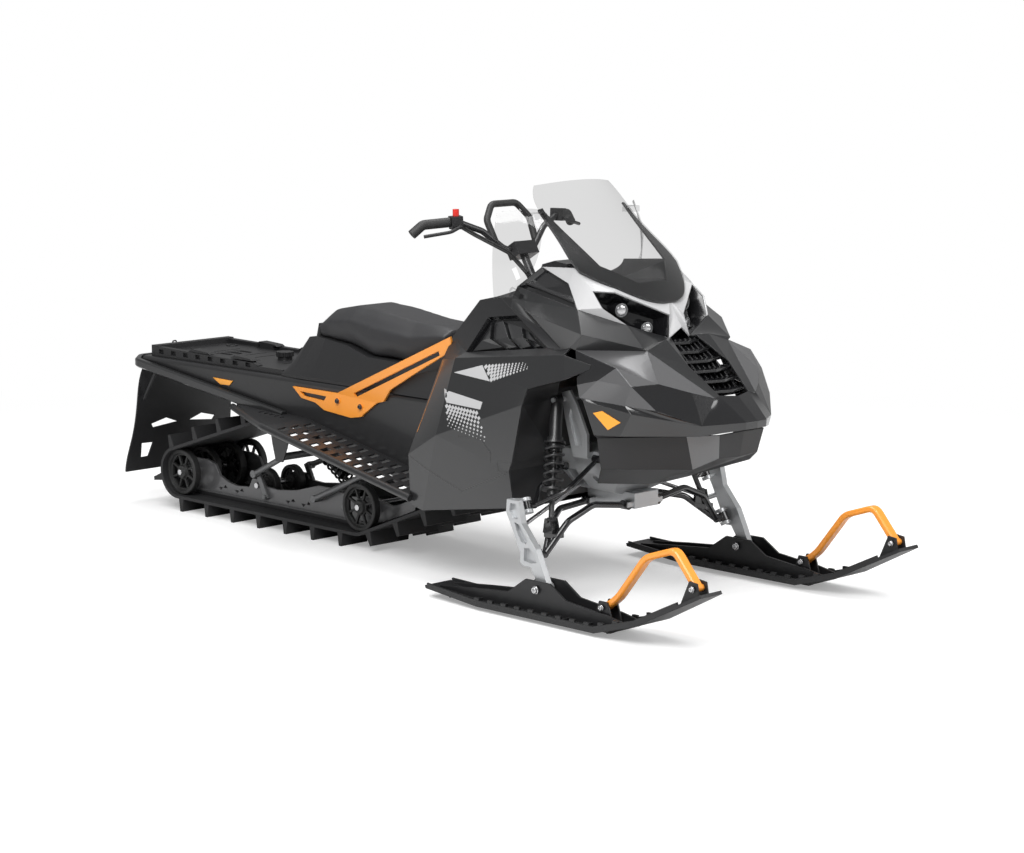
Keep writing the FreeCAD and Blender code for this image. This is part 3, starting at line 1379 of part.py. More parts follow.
def make_upper_arms():
    axis = (KINGPIN_TOP - KINGPIN_LOW).normalize()
    hub = KINGPIN_TOP
    arm = rod(hub - axis * 12, hub + axis * 12, 17)
    fork = hub + ARM_INWARD * 34
    arm = arm.fuse([rod(hub + ARM_INWARD * 11, fork, 9.5), Part.makeSphere(9.5, fork)])
    front = bent_bar([fork, Vector(880, -345, 392), Vector(880, -UPPER_PIVOT_Y, 480)], 8, 50)
    rear = bent_bar([fork, Vector(748, -335, 386), Vector(722, -UPPER_PIVOT_Y, 440)], 8, 50)
    arm = arm.fuse([front, rear])
    for x, z in ((880, 480), (722, 440)):
        arm = arm.fuse(rod(Vector(x - 16, -UPPER_PIVOT_Y, z), Vector(x + 16, -UPPER_PIVOT_Y, z), 13))
    arm = arm.cut(rod(hub - axis * 30, hub + axis * 30, PIN_RADIUS + FIT))
    return both_sides(arm)


SHOCK_TOP = Vector(745, -250, 670)
SHOCK_LOW = Vector(838, -372, 292)
FRONT_SPRING_FROM = 150.0
FRONT_SPRING_TO = 300.0
TOWER_BAR = 9.0
BULKHEAD_REAR_X = 705.0


def make_shocks():
    axis = (SHOCK_LOW - SHOCK_TOP).normalize()
    body = rod(SHOCK_TOP + axis * 12, SHOCK_TOP + axis * 176, 21)
    body = body.fuse([
        rod(SHOCK_TOP + axis * 170, SHOCK_LOW, 9),
        rod(SHOCK_TOP + axis * 128, SHOCK_TOP + axis * FRONT_SPRING_FROM, 27),
        rod(SHOCK_TOP + axis * (FRONT_SPRING_FROM - 8), SHOCK_TOP + axis * FRONT_SPRING_FROM, 36),
        rod(SHOCK_TOP + axis * FRONT_SPRING_TO, SHOCK_TOP + axis * (FRONT_SPRING_TO + 8), 36),
        rod(SHOCK_TOP + axis * (FRONT_SPRING_TO + 8), SHOCK_TOP + axis * (FRONT_SPRING_TO + 24), 18),
        cross_rod(SHOCK_TOP.x, SHOCK_TOP.z, 18, SHOCK_TOP.y - 14, SHOCK_TOP.y + 14),
        cross_rod(SHOCK_LOW.x, SHOCK_LOW.z, 12, SHOCK_LOW.y - 12, SHOCK_LOW.y + 12)])
    body = body.cut(cross_rod(SHOCK_TOP.x, SHOCK_TOP.z, TOWER_BAR + FIT, -300, -200))
    body = body.cut(cross_rod(SHOCK_LOW.x, SHOCK_LOW.z, SHOCK_BOLT + FIT, -400, -340))
    return both_sides(body) + [make_rear_shock()]


def make_springs():
    axis = (SHOCK_LOW - SHOCK_TOP).normalize()
    coil = coil_between(SHOCK_TOP, axis, FRONT_SPRING_FROM, FRONT_SPRING_TO, 30, 5.2, 5)
    start = Vector(REAR_ARM_TOP[0], 0, REAR_ARM_TOP[1])
    end = Vector(SHOCK_TUBE[0], 0, SHOCK_TUBE[1])
    rear = coil_between(start, (end - start).normalize(), REAR_SPRING_FROM, REAR_SPRING_TO, 25, 4.5, 8)
    return both_sides(coil) + [rear]


def make_spindle():
    """Cast knuckle: a pocketed web outside the kingpin, its ears, the ski's foot and the steering arm."""
    axis = (KINGPIN_TOP - KINGPIN_LOW).normalize()
    pins = [rod(KINGPIN_LOW - axis * 24, KINGPIN_LOW + axis * 26, PIN_RADIUS),
            rod(KINGPIN_TOP - axis * 26, KINGPIN_TOP + axis * 20, PIN_RADIUS)]
    middle = -SKI_STANCE / 2
    inner_face = middle + 9.5
    outer_face = inner_face - WEB_THICKNESS
    outline = [(772, 374), (822, 374), (834, 330), (840, 300), (905, 225), (932, 170), (958, 112),
               (950, 84), (915, 84),
               (902, 130), (880, 162), (846, 162), (832, 176), (834, 204), (812, 250), (786, 300), (768, 332)]
    web = plate_xz(outline, outer_face, inner_face)
    pockets = [
        [(788, 362), (811, 362), (823, 326), (822, 314), (800, 314), (783, 336)],
        [(807, 302), (828, 296), (866, 248), (860, 236), (838, 240), (818, 274)],
        [(852, 222), (876, 224), (896, 206), (908, 182), (884, 176), (850, 180)],
    ]
    for pocket in pockets:
        web = web.cut(plate_xz(pocket, outer_face - 1, outer_face + 14))
    ears = []
    for centre, near, far in ((KINGPIN_LOW, 17, 29), (KINGPIN_TOP, 14, 26)):
        for sign in (-1, 1):
            ears.append(rod(centre + axis * (sign * near), centre + axis * (sign * far), 17))
            ear_middle = centre + axis * (sign * (near + far) / 2)
            reach = (ear_middle.y - middle - 4) / ARM_INWARD.y
            ears.append(rod(ear_middle, ear_middle - ARM_INWARD * reach, 6))
    foot = cross_rod(SKI_BOLT_X, SKI_BOLT_Z, 20, middle - 24, middle + 24)
    steer_pin = rod(STEER_ARM - axis * 22, STEER_ARM + axis * 9, PIN_RADIUS - 2)
    steer_arm = rod(STEER_ARM - axis * 22, Vector(806, middle + 1, 262), 9)
    steer_boss = rod(STEER_ARM - axis * 28, STEER_ARM - axis * 9, 12)
    spindle = web.fuse(pins + ears + [foot, steer_pin, steer_arm, steer_boss])
    return spindle.cut(cross_rod(SKI_BOLT_X, SKI_BOLT_Z, SKI_BOLT_RADIUS + FIT, -600, -400))


def stretched(points):
    """Places along the ski, with those ahead of its bolt spread to reach its tip."""
    ratio = (LENGTH / 2 - SKI_BOLT_X) / SKI_REACH
    moved = []
    for x, z in points:
        if x > SKI_BOLT_X:
            x = SKI_BOLT_X + (x - SKI_BOLT_X) * ratio
        moved.append((x, z))
    return moved


def make_ski():
    """Moulded ski: a tapered sole with a keel, side ribs, a saddle for the spindle and the handle's ears."""
    middle = -SKI_STANCE / 2
    half = SKI_WIDTH / 2
    tip_x = LENGTH / 2
    low = stretched([(SKI_REAR_X, 30), (700, 14), (1230, 14), (1400, 62)]) + [(tip_x, SKI_TIP_Z)]
    top = [(x - 4, z + SKI_PLATE) for x, z in reversed(low)]
    top[0] = (tip_x - 6, SKI_TIP_Z + SKI_PLATE)
    wide_x = stretched([(1380, 0)])[0][0]
    plan = [(SKI_REAR_X - 10, middle - 60), (700, middle - half),
            (wide_x, middle - half), (tip_x, middle - 50),
            (tip_x, middle + 50), (wide_x, middle + half),
            (700, middle + half), (SKI_REAR_X - 10, middle + 60)]
    plate = plate_xz(low + top, middle - half, middle + half).common(plate_xy(plan, -10, 300))
    lip_low = stretched([(SKI_REAR_X + 10, 34), (700, 20), (1228, 20), (1396, 66), (1560, 148)])
    lip_high = [(x - 4, z + 15) for x, z in reversed(lip_low)]
    lip = plate_xz(lip_low + lip_high, middle - half, middle + half).common(plate_xy(plan, -10, 300))
    shrunk = [(x, middle + (y - middle) * 0.88) for x, y in plan]
    lip = lip.cut(plate_xy(shrunk, -10, 300))
    keel_outline = stretched([(640, 15), (700, 0), (1230, 0), (1300, 34), (1230, 16)])
    keel = plate_xz(keel_outline, middle - 8, middle + 8)
    wall_outline = [(470, 34), (760, 20), (1220, 20), (1330, 50), (1240, 66), (1170, 72), (1060, 84),
                    (990, 128), (880, 128),
                    (800, 74), (640, 60), (480, 44)]
    pieces = [lip, keel]
    for offset in (-34, 34):
        pieces.append(plate_xz(stretched(wall_outline), middle + offset - 4, middle + offset + 4))
    for x, z in stretched([(560, 20), (680, 20), (800, 20), (1080, 20), (1180, 20), (1280, 20)]):
        rib = block(x - 3, x + 3, middle - half * 0.9, middle + half * 0.9, z, z + 14)
        pieces.append(rib.common(plate_xy(plan, 0, 100)))
    near = SKI_HANDLE_WIDTH / 2 + FIT
    rear_ear = [(1165, 18), (1262, 18), (1232, 104), (1196, 104)]
    front_ear = [(1532, 132), (1616, 172), (1606, 222), (1574, 226)]
    handle_line = stretched(SKI_HANDLE_LINE)
    for ear, hole in ((rear_ear, handle_line[0]), (front_ear, handle_line[-1])):
        for side in (-1, 1):
            inner, outer = sorted((middle + side * near, middle + side * (near + 6)))
            pieces.append(plate_xz(stretched(ear), inner, outer))
        pieces.append(cross_rod(hole[0], hole[1], HANDLE_BOLT, middle - near - 11, middle + near + 11))
    pieces.append(cross_rod(SKI_BOLT_X, SKI_BOLT_Z, SKI_BOLT_RADIUS, middle - 44, middle + 44))
    return plate.fuse(pieces)


def make_ski_handle():
    middle = -SKI_STANCE / 2
    half = SKI_HANDLE_WIDTH / 2
    line = stretched(SKI_HANDLE_LINE)
    band = flat_band(line, SKI_HANDLE_WIDTH, 9, 22, middle)
    for x, z in (line[0], line[-1]):
        band = band.fuse(cross_rod(x, z, HANDLE_BOLT + 6, middle - half, middle + half))
        band = band.cut(cross_rod(x, z, HANDLE_BOLT + FIT, middle - half - 1, middle + half + 1))
    return band


# Steering

BAR_RADIUS = 11.0
POST_RADIUS = 14.0
GRIP_RADIUS = 17.0
BAR_POINTS = [Vector(332, 0, 1124), Vector(318, -70, 1130), Vector(288, -150, 1196), Vector(262, -245, 1232),
              Vector(206, -352, 1224), Vector(192, -384, 1196)]


def steering_axis():
    lean = math.radians(STEERING_LEAN)
    return Vector(-math.sin(lean), 0, math.cos(lean))


def make_handlebar():
    right = BAR_POINTS
    left = [Vector(point.x, -point.y, point.z) for point in reversed(right[1:])]
    return [bent_bar(left + right, BAR_RADIUS, 60)]


def make_grips():
    path = bend_path([Vector(250, -268, 1231), Vector(206, -352, 1224), Vector(190, -388.6, 1192)], 30)
    start = Vector(250, -268, 1231)
    ring = Part.Wire(Part.makeCircle(GRIP_RADIUS, start, Vector(206, -352, 1224) - start))
    outer = path.makePipeShell([ring], True, False)
    bar = make_handlebar()[0]
    return both_sides(outer.cut(bar))


def make_bar_controls():
    bar = make_handlebar()[0]
    along = (BAR_POINTS[4] - BAR_POINTS[3]).normalize()
    centre = BAR_POINTS[3] + along * 4
    placement = FreeCAD.Placement(centre, FreeCAD.Rotation(Vector(0, -1, 0), along))
    case = Part.makeBox(46, 40, 44, Vector(-22, -20, -24))
    case.Placement = placement
    lever_points = [centre + Vector(26, 0, -14), centre + Vector(30, -50, -30),
                    centre + Vector(-20, -130, -44)]
    lever = bent_bar(lever_points, 6, 40)
    knob = rod(centre + Vector(2, -2, 20), centre + Vector(2, -2, 44), 11)
    right = case.fuse([lever])
    left = mirrored(right)
    return [right.cut(bar), left.cut(bar)], [knob.cut(right)]


def make_grab_strap():
    points = [Vector(300, -96, 1152), Vector(262, -104, 1230), Vector(240, -60, 1281), Vector(240, 60, 1281),
              Vector(262, 104, 1230), Vector(300, 96, 1152)]
    strap = bent_bar(points, 12, 34)
    return [largest(strap.cut(make_handlebar()[0]))]


def make_control_hoses(neighbours):
    points = [Vector(266, -240, 1216), Vector(296, -196, 1184), Vector(376, -110, 1122),
              Vector(414, -60, 1050),
              Vector(428, -40, 1000)]
    second = [point + Vector(0, 9, 4) for point in points]
    return [trimmed(bent_bar(line, 4, 60), neighbours) for line in (points, second)]


def make_steering_post():
    axis = steering_axis()
    post = rod(STEERING_POINT - axis * 380, STEERING_POINT + axis * 30, POST_RADIUS)
    clamp = block(-26, 26, -50, 50, -24, 24)
    clamp.Placement = FreeCAD.Placement(Vector(332, 0, 1124), FreeCAD.Rotation(Vector(0, 0, 1), axis))
    return [post.fuse(clamp).cut(make_handlebar()[0])]


# Tie rods from the steering under the nose to the spindles' arms

STEER_ARM = Vector(758, -444, 262)


def make_tie_rod():
    axis = (KINGPIN_TOP - KINGPIN_LOW).normalize()
    eye = rod(STEER_ARM - axis * 8, STEER_ARM + axis * 8, 13)
    bar = rod(STEER_ARM, Vector(745, -106, 385), 7)
    return eye.fuse(bar).cut(rod(STEER_ARM - axis * 20, STEER_ARM + axis * 20, PIN_RADIUS - 2 + FIT))


def make_engine():
    front = BULKHEAD_REAR_X - FIT
    return [block(TUNNEL_FRONT_X + FIT, front, -200, 200, 330, 700)]


def make_bulkhead():
    """Front casting: the box between the upper arms, the keel of the lower arms and the shock towers."""
    section = [(-182.5, 500), (-182.5, 425), (-115, 360), (-50, 340), (50, 340), (115, 360), (182.5, 425),
               (182.5, 500)]
    corners = [Vector(BULKHEAD_REAR_X, y, z) for y, z in section]
    casting = flat_face(corners).extrude(Vector(240, 0, 0))
    profile = [(BULKHEAD_REAR_X, 350), (860, 338), (936, 406), (942, 500), (BULKHEAD_REAR_X, 500)]
    casting = casting.common(plate_xz(profile, -200, 200))
    casting = casting.fuse(block(BULKHEAD_REAR_X, 922, -58, 58, 300, 352))
    tower = [(733, 690), (770, 702), (800, 660), (850, 560), (852, 480), (786, 480), (748, 610)]
    light = [(776, 640), (790, 618), (826, 552), (826, 520), (798, 520), (768, 612)]
    tower_plate = plate_xz(tower, -216, -204).cut(plate_xz(light, -217, -208))
    plates = both_sides(tower_plate) + both_sides(block(788, 850, -210, -170, 482, 500))
    for x in (895, 722):
        z = 312 if x > 800 else 305
        for edge in (x - 16.5 - 5.5, x + 16.5):
            plates.extend(both_sides(block(edge, edge + 5.5, -86, -50, z - 5, z + 12)))
    casting = casting.fuse(plates)
    slot = block(728, 772, -220, -59, 346, 430)
    for cut in both_sides(slot):
        casting = casting.cut(cut)
    hexagon = []
    for step in range(6):
        angle = math.radians(60 * step + 30)
        hexagon.append((842 + 15 * math.cos(angle), 404 + 15 * math.sin(angle)))
    for cut in both_sides(plate_xz(hexagon, -200, -120)):
        casting = casting.cut(cut)
    return [casting.fuse(cross_rod(SHOCK_TOP.x, SHOCK_TOP.z, TOWER_BAR, -270, 270))]


SCREEN_FACING = Vector(0.75, 0, 0.66)
SCREEN_THICKNESS = 4.0
SCREEN_FRAME_THICKNESS = 7.0


def screen_rows():
    """Points of the windshield's outer face, from its foot to its folded lip."""
    rows = []
    for side_x, side_y, side_z, centre_x, centre_z in (
            (836, 238, 1102, 1024, 998), (740, 226, 1185, 900, 1105), (650, 214, 1262, 760, 1220),
            (590, 205, 1325, 650, 1320), (565, 180, 1365, 607, 1379)):
        row = []
        for share in (-1, -0.55, 0, 0.55, 1):
            bow = 1 - share * share
            row.append(Vector(side_x + (centre_x - side_x) * bow, share * side_y,
                              side_z + (centre_z - side_z) * bow))
        rows.append(row)
    return rows


def screen_prism(outline):
    """A solid through the windshield, from an outline across and up its face."""
    up = Vector(-SCREEN_FACING.z, 0, SCREEN_FACING.x)
    base = SCREEN_FACING * 500
    corners = [base + up * rise + Vector(0, y, 0) for y, rise in outline]
    return flat_face(corners).extrude(SCREEN_FACING * 1400)


def main():
    os.makedirs("parts", exist_ok=True)
    panels = make_body_panels()
    panels["console"] = make_console(panels["console"])
    panels["chin"] = [trimmed(shape, panels["side_panels"]) for shape in panels["chin"]]
    panels["side_louvres"] = both_sides(make_tray(LOUVRE_CORNERS, 22.0, 4, 0.85))
    panels["intake_vents"] = both_sides(make_tray(VENT_CORNERS, 20.0, 1, 0.6))
    panels["arch_liners"] = make_arch_liners()
    front_body = panels["lamp_surround"] + panels["console"] + panels["hood"] + panels["intake_vents"]
    rear_body = panels["side_panels"] + panels["knee_panels"] + panels["console"]
    nose = panels["nose_cowl"] + panels["lamp_surround"] + panels["chin"]
    save("track", [make_track()])
    save("wheels", make_wheels())
    save("axles", make_axles())
    save("slide_rails", make_slide_rails())
    save("sliders", make_sliders())
    save("suspension_arms", make_suspension_arms())
    save("tunnel", make_tunnel())
    save("running_boards", make_running_boards(panels["side_panels"]))
    save("rear_bumper", make_rear_bumper())
    save("snow_flap", make_snow_flap())
    save("cargo_deck", make_cargo_deck())
    save("hitch", make_hitch())
    save("seat_base", make_seat_base())
    save("seat", make_seat())
    save("fuel_tank", make_fuel_tank(rear_body))
    save("side_braces", make_side_braces(rear_body))
    for node, shapes in panels.items():
        save(node, shapes)
    housings = make_lamp_housings(nose)
    save("lamp_housing", housings)
    save("headlamps", make_headlamps(nose))
    save("grille", make_grille(nose + housings))
    save("reflectors", make_reflectors())
    screen = make_windshield(front_body)
    frame = make_windshield_frame(front_body + screen)
    save("windshield_frame", frame)
    save("windshield", screen)
    save("side_deflectors", make_side_deflectors(front_body + panels["knee_panels"] + frame + screen))
    save("gauge", make_gauge(panels["console"]))
    save("lower_arms", make_lower_arms())
    save("upper_arms", make_upper_arms())
    save("shocks", make_shocks())
    save("springs", make_springs())
    spindle = make_spindle()
    save("spindle_right", [spindle])
    save("spindle_left", [mirrored(spindle)])
    ski = make_ski()
    save("ski_right", [ski])
    save("ski_left", [mirrored(ski)])
    handle = make_ski_handle()
    save("ski_handle_right", [handle])
    save("ski_handle_left", [mirrored(handle)])
    save("handlebar", make_handlebar())
    save("steering_post", make_steering_post())
    save("grips", make_grips())
    controls, stop_button = make_bar_controls()
    save("bar_controls", controls)
    save("stop_button", stop_button)
    save("grab_strap", make_grab_strap())
    save("control_hoses", make_control_hoses(controls + make_handlebar()))
    tie_rod = make_tie_rod()
    save("tie_rod_right", [tie_rod])
    save("tie_rod_left", [mirrored(tie_rod)])
    save("engine", make_engine())
    save("bulkhead", make_bulkhead())


main()
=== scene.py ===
import json
import math

import bmesh
import bpy
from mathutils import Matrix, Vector
from mathutils.bvhtree import BVHTree


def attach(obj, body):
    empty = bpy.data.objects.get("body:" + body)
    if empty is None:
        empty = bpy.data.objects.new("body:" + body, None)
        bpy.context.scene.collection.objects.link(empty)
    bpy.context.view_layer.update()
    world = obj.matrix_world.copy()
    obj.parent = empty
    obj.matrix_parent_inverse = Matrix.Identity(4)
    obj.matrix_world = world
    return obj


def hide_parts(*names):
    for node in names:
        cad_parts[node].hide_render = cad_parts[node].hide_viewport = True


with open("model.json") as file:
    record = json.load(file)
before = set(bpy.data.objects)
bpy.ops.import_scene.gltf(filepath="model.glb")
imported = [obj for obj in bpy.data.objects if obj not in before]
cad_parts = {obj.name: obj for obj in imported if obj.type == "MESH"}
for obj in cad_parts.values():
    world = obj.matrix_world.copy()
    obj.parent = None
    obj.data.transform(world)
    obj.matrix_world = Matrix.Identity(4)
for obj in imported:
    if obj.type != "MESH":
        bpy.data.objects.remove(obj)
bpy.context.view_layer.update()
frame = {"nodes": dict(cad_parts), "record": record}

# Sign of Y on each side, and what mirrors a place that is given on the right side
SIDES = ((-1, "right"), (1, "left"))
MIRRORS = ((1, "right"), (-1, "left"))


# Materials

# Finish of each slot: colour, roughness, metal, coat, grain size in metres, grain depth, tone change
FINISHES = {
    "charcoal_paint": ((0.014, 0.0143, 0.0152), 0.30, 0.0, 0.60, 0.0016, 0.02, 0.05),
    "black_plastic": ((0.013, 0.013, 0.014), 0.46, 0.0, 0.0, 0.0012, 0.12, 0.12),
    "gloss_black": ((0.009, 0.009, 0.010), 0.18, 0.0, 0.6, 0.0020, 0.01, 0.04),
    "silver_paint": ((0.110, 0.110, 0.113), 0.34, 0.3, 0.35, 0.0010, 0.01, 0.04),
    "light_grey": ((0.46, 0.46, 0.465), 0.38, 0.0, 0.30, 0.0020, 0.01, 0.02),
    "orange_paint": ((0.93, 0.33, 0.035), 0.36, 0.0, 0.30, 0.0018, 0.02, 0.03),
    "amber_lens": ((0.90, 0.36, 0.02), 0.14, 0.0, 0.70, 0.0020, 0.0, 0.02),
    "red_plastic": ((0.70, 0.03, 0.02), 0.28, 0.0, 0.40, 0.0020, 0.01, 0.03),
    "alloy": ((0.50, 0.51, 0.52), 0.38, 0.6, 0.0, 0.0014, 0.06, 0.06),
    "grey_alloy": ((0.17, 0.172, 0.175), 0.42, 0.5, 0.0, 0.0014, 0.05, 0.06),
    "black_steel": ((0.016, 0.016, 0.017), 0.38, 0.0, 0.25, 0.0016, 0.06, 0.08),
    "bright_steel": ((0.60, 0.60, 0.61), 0.22, 0.95, 0.0, 0.0010, 0.02, 0.03),
    "track_rubber": ((0.018, 0.018, 0.019), 0.62, 0.0, 0.0, 0.0030, 0.16, 0.14),
    "rubber": ((0.018, 0.018, 0.018), 0.55, 0.0, 0.0, 0.0016, 0.12, 0.10),
    "seat_cover": ((0.026, 0.026, 0.028), 0.50, 0.0, 0.0, 0.0011, 0.30, 0.12),
    "iron": ((0.10, 0.10, 0.10), 0.55, 0.6, 0.0, 0.0030, 0.12, 0.12),
}
COAT_ROUGHNESS = 0.12
EDGE_ROUNDING = 0.0028
EDGE_SAMPLES = 4
GRAIN_DETAIL = 2.0
DARK_POSITION = 0.3
LIGHT_POSITION = 0.7
GRAIN_HEIGHT = 0.5

# Clear sheets: tint and roughness
CLEAR_FINISHES = {
    "clear_screen": (0.86, 0.06),
    "lamp_glass": (0.90, 0.04),
}
SHEET_IOR = 1.4

# Nodes whose finish in the photograph differs from their record slot
DARK_NODES = {
    "running_boards": "black_steel",
    "slide_rails": "silver_paint",
    "rear_bumper": "charcoal_paint",
    "windshield_frame": "charcoal_paint",
    "headlamps": "gloss_black",
    "lower_arms": "gloss_black",
    "upper_arms": "gloss_black",
    "fuel_tank": "black_plastic",
}

SLOT_OF_NODE = {entry["node"]: entry["material_slot"] for entry in frame["record"]["subparts"]}


def new_material(name):
    material = bpy.data.materials.new(name)
    material.use_nodes = True
    return material, material.node_tree.nodes, material.node_tree.links


def set_tones(ramp, colour, tone):
    """A ramp from a little darker than the colour to a little lighter."""
    darker, lighter = ramp.color_ramp.elements
    darker.position = DARK_POSITION
    darker.color = (*[channel * (1 - tone) for channel in colour], 1)
    lighter.position = LIGHT_POSITION
    lighter.color = (*[min(1.0, channel * (1 + tone)) for channel in colour], 1)


def solid_material(slot):
    """Paint, plastic, metal or rubber with rounded edges and a fine grain in its colour and surface."""
    colour, roughness, metal, coat, grain, depth, tone = FINISHES[slot]
    material, nodes, links = new_material(slot)
    shader = nodes["Principled BSDF"]
    shader.inputs["Roughness"].default_value = roughness
    shader.inputs["Metallic"].default_value = metal
    shader.inputs["Coat Weight"].default_value = coat
    shader.inputs["Coat Roughness"].default_value = COAT_ROUGHNESS
    place = nodes.new("ShaderNodeTexCoord")
    noise = nodes.new("ShaderNodeTexNoise")
    noise.inputs["Scale"].default_value = 1.0 / grain
    noise.inputs["Detail"].default_value = GRAIN_DETAIL
    links.new(place.outputs["Object"], noise.inputs["Vector"])
    ramp = nodes.new("ShaderNodeValToRGB")
    set_tones(ramp, colour, tone)
    links.new(noise.outputs["Fac"], ramp.inputs["Fac"])
    links.new(ramp.outputs["Color"], shader.inputs["Base Color"])
    edges = nodes.new("ShaderNodeBevel")
    edges.samples = EDGE_SAMPLES
    edges.inputs["Radius"].default_value = EDGE_ROUNDING
    bump = nodes.new("ShaderNodeBump")
    bump.inputs["Strength"].default_value = depth
    bump.inputs["Distance"].default_value = grain * GRAIN_HEIGHT
    links.new(noise.outputs["Fac"], bump.inputs["Height"])
    links.new(edges.outputs["Normal"], bump.inputs["Normal"])
    links.new(bump.outputs["Normal"], shader.inputs["Normal"])
    return material


def clear_material(slot):
    """Thin clear sheet: a grey tint on what is behind it, and a mirror at grazing angles from outside."""
    tint, roughness = CLEAR_FINISHES[slot]
    material, nodes, links = new_material(slot)
    mirror = nodes["Principled BSDF"]
    mirror.inputs["Base Color"].default_value = (1, 1, 1, 1)
    mirror.inputs["Metallic"].default_value = 1.0
    mirror.inputs["Roughness"].default_value = roughness
    through = nodes.new("ShaderNodeBsdfTransparent")
    through.inputs["Color"].default_value = (tint, tint, tint, 1)
    grazing = nodes.new("ShaderNodeFresnel")
    grazing.inputs["IOR"].default_value = SHEET_IOR
    face = nodes.new("ShaderNodeNewGeometry")
    outside = nodes.new("ShaderNodeMath")
    outside.operation = "SUBTRACT"
    outside.inputs[0].default_value = 1.0
    links.new(face.outputs["Backfacing"], outside.inputs[1])
    outside_only = nodes.new("ShaderNodeMath")
    outside_only.operation = "MULTIPLY"
    links.new(grazing.outputs["Fac"], outside_only.inputs[0])
    links.new(outside.outputs[0], outside_only.inputs[1])
    mix = nodes.new("ShaderNodeMixShader")
    links.new(outside_only.outputs[0], mix.inputs["Fac"])
    links.new(through.outputs["BSDF"], mix.inputs[1])
    links.new(mirror.outputs["BSDF"], mix.inputs[2])
    links.new(mix.outputs["Shader"], nodes["Material Output"].inputs["Surface"])
    return material


MATERIALS = {slot: solid_material(slot) for slot in FINISHES}
MATERIALS.update({slot: clear_material(slot) for slot in CLEAR_FINISHES})


def dress_nodes():
    for name, obj in frame["nodes"].items():
        obj.data.materials.clear()
        obj.data.materials.append(MATERIALS[DARK_NODES.get(name, SLOT_OF_NODE[name])])


dress_nodes()


def new_piece(name, vertices, faces, slot, body="root"):
    """One added mesh with a material, riding on a body."""
    mesh = bpy.data.meshes.new(name)
    mesh.from_pydata([tuple(vertex) for vertex in vertices], [], faces)
    mesh.update()
    obj = bpy.data.objects.new(name, mesh)
    bpy.context.scene.collection.objects.link(obj)
    mesh.materials.append(MATERIALS[slot])
    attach(obj, body)
    return obj


def joined(parts):
    """Several forms as one list of vertices and one of faces."""
    vertices = []
    faces = []
    for part_vertices, part_faces in parts:
        first = len(vertices)
        vertices += part_vertices
        faces += [tuple(index + first for index in face) for face in part_faces]
    return vertices, faces


def ring_faces(rings, count):
    """Faces between rings of points that follow each other, each ring with the same count."""
    faces = []
    for ring in range(rings - 1):
        first = ring * count
        for number in range(count):
            following = (number + 1) % count
            faces.append((first + number, first + following,
                          first + count + following, first + count + number))
    return faces


# Seat: a soft cover blown up a little from the seat's own form

SEAT_VOXEL = 0.006
SEAT_PRESSURE = 2.0
SEAT_SHRINK = 0.986
SEAT_SWELL = 0.006
SEAT_FRAMES = 20
EVENING = 30
SMOOTHING = 8
SMOOTHING_SHARE = 0.5


def shrunk_copy(source):
    """A copy of the seat, a little smaller about its middle."""
    mesh = source.data.copy()
    middle = sum((vertex.co for vertex in mesh.vertices), Vector()) / len(mesh.vertices)
    for vertex in mesh.vertices:
        vertex.co = middle + (vertex.co - middle) * SEAT_SHRINK
    cover = bpy.data.objects.new("seat_cover", mesh)
    bpy.context.scene.collection.objects.link(cover)
    return cover


def remesh(cover):
    """Even, small faces over the whole form."""
    cover.data.remesh_voxel_size = SEAT_VOXEL
    for other in bpy.context.selected_objects:
        other.select_set(False)
    bpy.context.view_layer.objects.active = cover
    cover.select_set(True)
    bpy.ops.object.voxel_remesh()


def evened(mesh, start):
    """Spreads each point's move over its neighbours, so that the cover swells evenly."""
    moves = [vertex.co - origin for vertex, origin in zip(mesh.vertices, start)]
    pairs = [tuple(edge.vertices) for edge in mesh.edges]
    for step in range(EVENING):
        totals = [move.copy() for move in moves]
        counts = [1] * len(moves)
        for first, second in pairs:
            totals[first] += moves[second]
            totals[second] += moves[first]
            counts[first] += 1
            counts[second] += 1
        moves = [total / count for total, count in zip(totals, counts)]
    for vertex, origin, move in zip(mesh.vertices, start, moves):
        vertex.co = origin + move


def capped(mesh, start, limit):
    """No point of the cover moves farther than the limit from its start."""
    for vertex, origin in zip(mesh.vertices, start):
        move = vertex.co - origin
        if move.length > limit:
            vertex.co = origin + move.normalized() * limit


def blow_up(cover):
    """Swells the cover as cloth under pressure, and keeps the result as its mesh."""
    start = [vertex.co.copy() for vertex in cover.data.vertices]
    cloth = cover.modifiers.new("cloth", "CLOTH")
    cloth.settings.use_pressure = True
    cloth.settings.uniform_pressure_force = SEAT_PRESSURE
    cloth.settings.effector_weights.gravity = 0.0
    cloth.point_cache.frame_start = 1
    cloth.point_cache.frame_end = SEAT_FRAMES
    for number in range(1, SEAT_FRAMES + 1):
        bpy.context.scene.frame_set(number)
    shaped = bpy.data.meshes.new_from_object(cover.evaluated_get(bpy.context.evaluated_depsgraph_get()))
    cover.modifiers.clear()
    cover.data = shaped
    evened(shaped, start)
    capped(shaped, start, SEAT_SWELL)
    bpy.context.scene.frame_set(1)


def smooth_cover(cover):
    """Evens out the voxel steps."""
    edit = bmesh.new()
    edit.from_mesh(cover.data)
    for step in range(SMOOTHING):
        bmesh.ops.smooth_vert(edit, verts=edit.verts, factor=SMOOTHING_SHARE,
                              use_axis_x=True, use_axis_y=True, use_axis_z=True)
    edit.to_mesh(cover.data)
    edit.free()


def make_seat_cover():
    cover = shrunk_copy(frame["nodes"]["seat"])
    remesh(cover)
    blow_up(cover)
    smooth_cover(cover)
    mesh = cover.data
    mesh.materials.clear()
    mesh.materials.append(MATERIALS["seat_cover"])
    for polygon in mesh.polygons:
        polygon.use_smooth = True
    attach(cover, "root")
    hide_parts("seat")


make_seat_cover()


# Graphics laid on the side panels

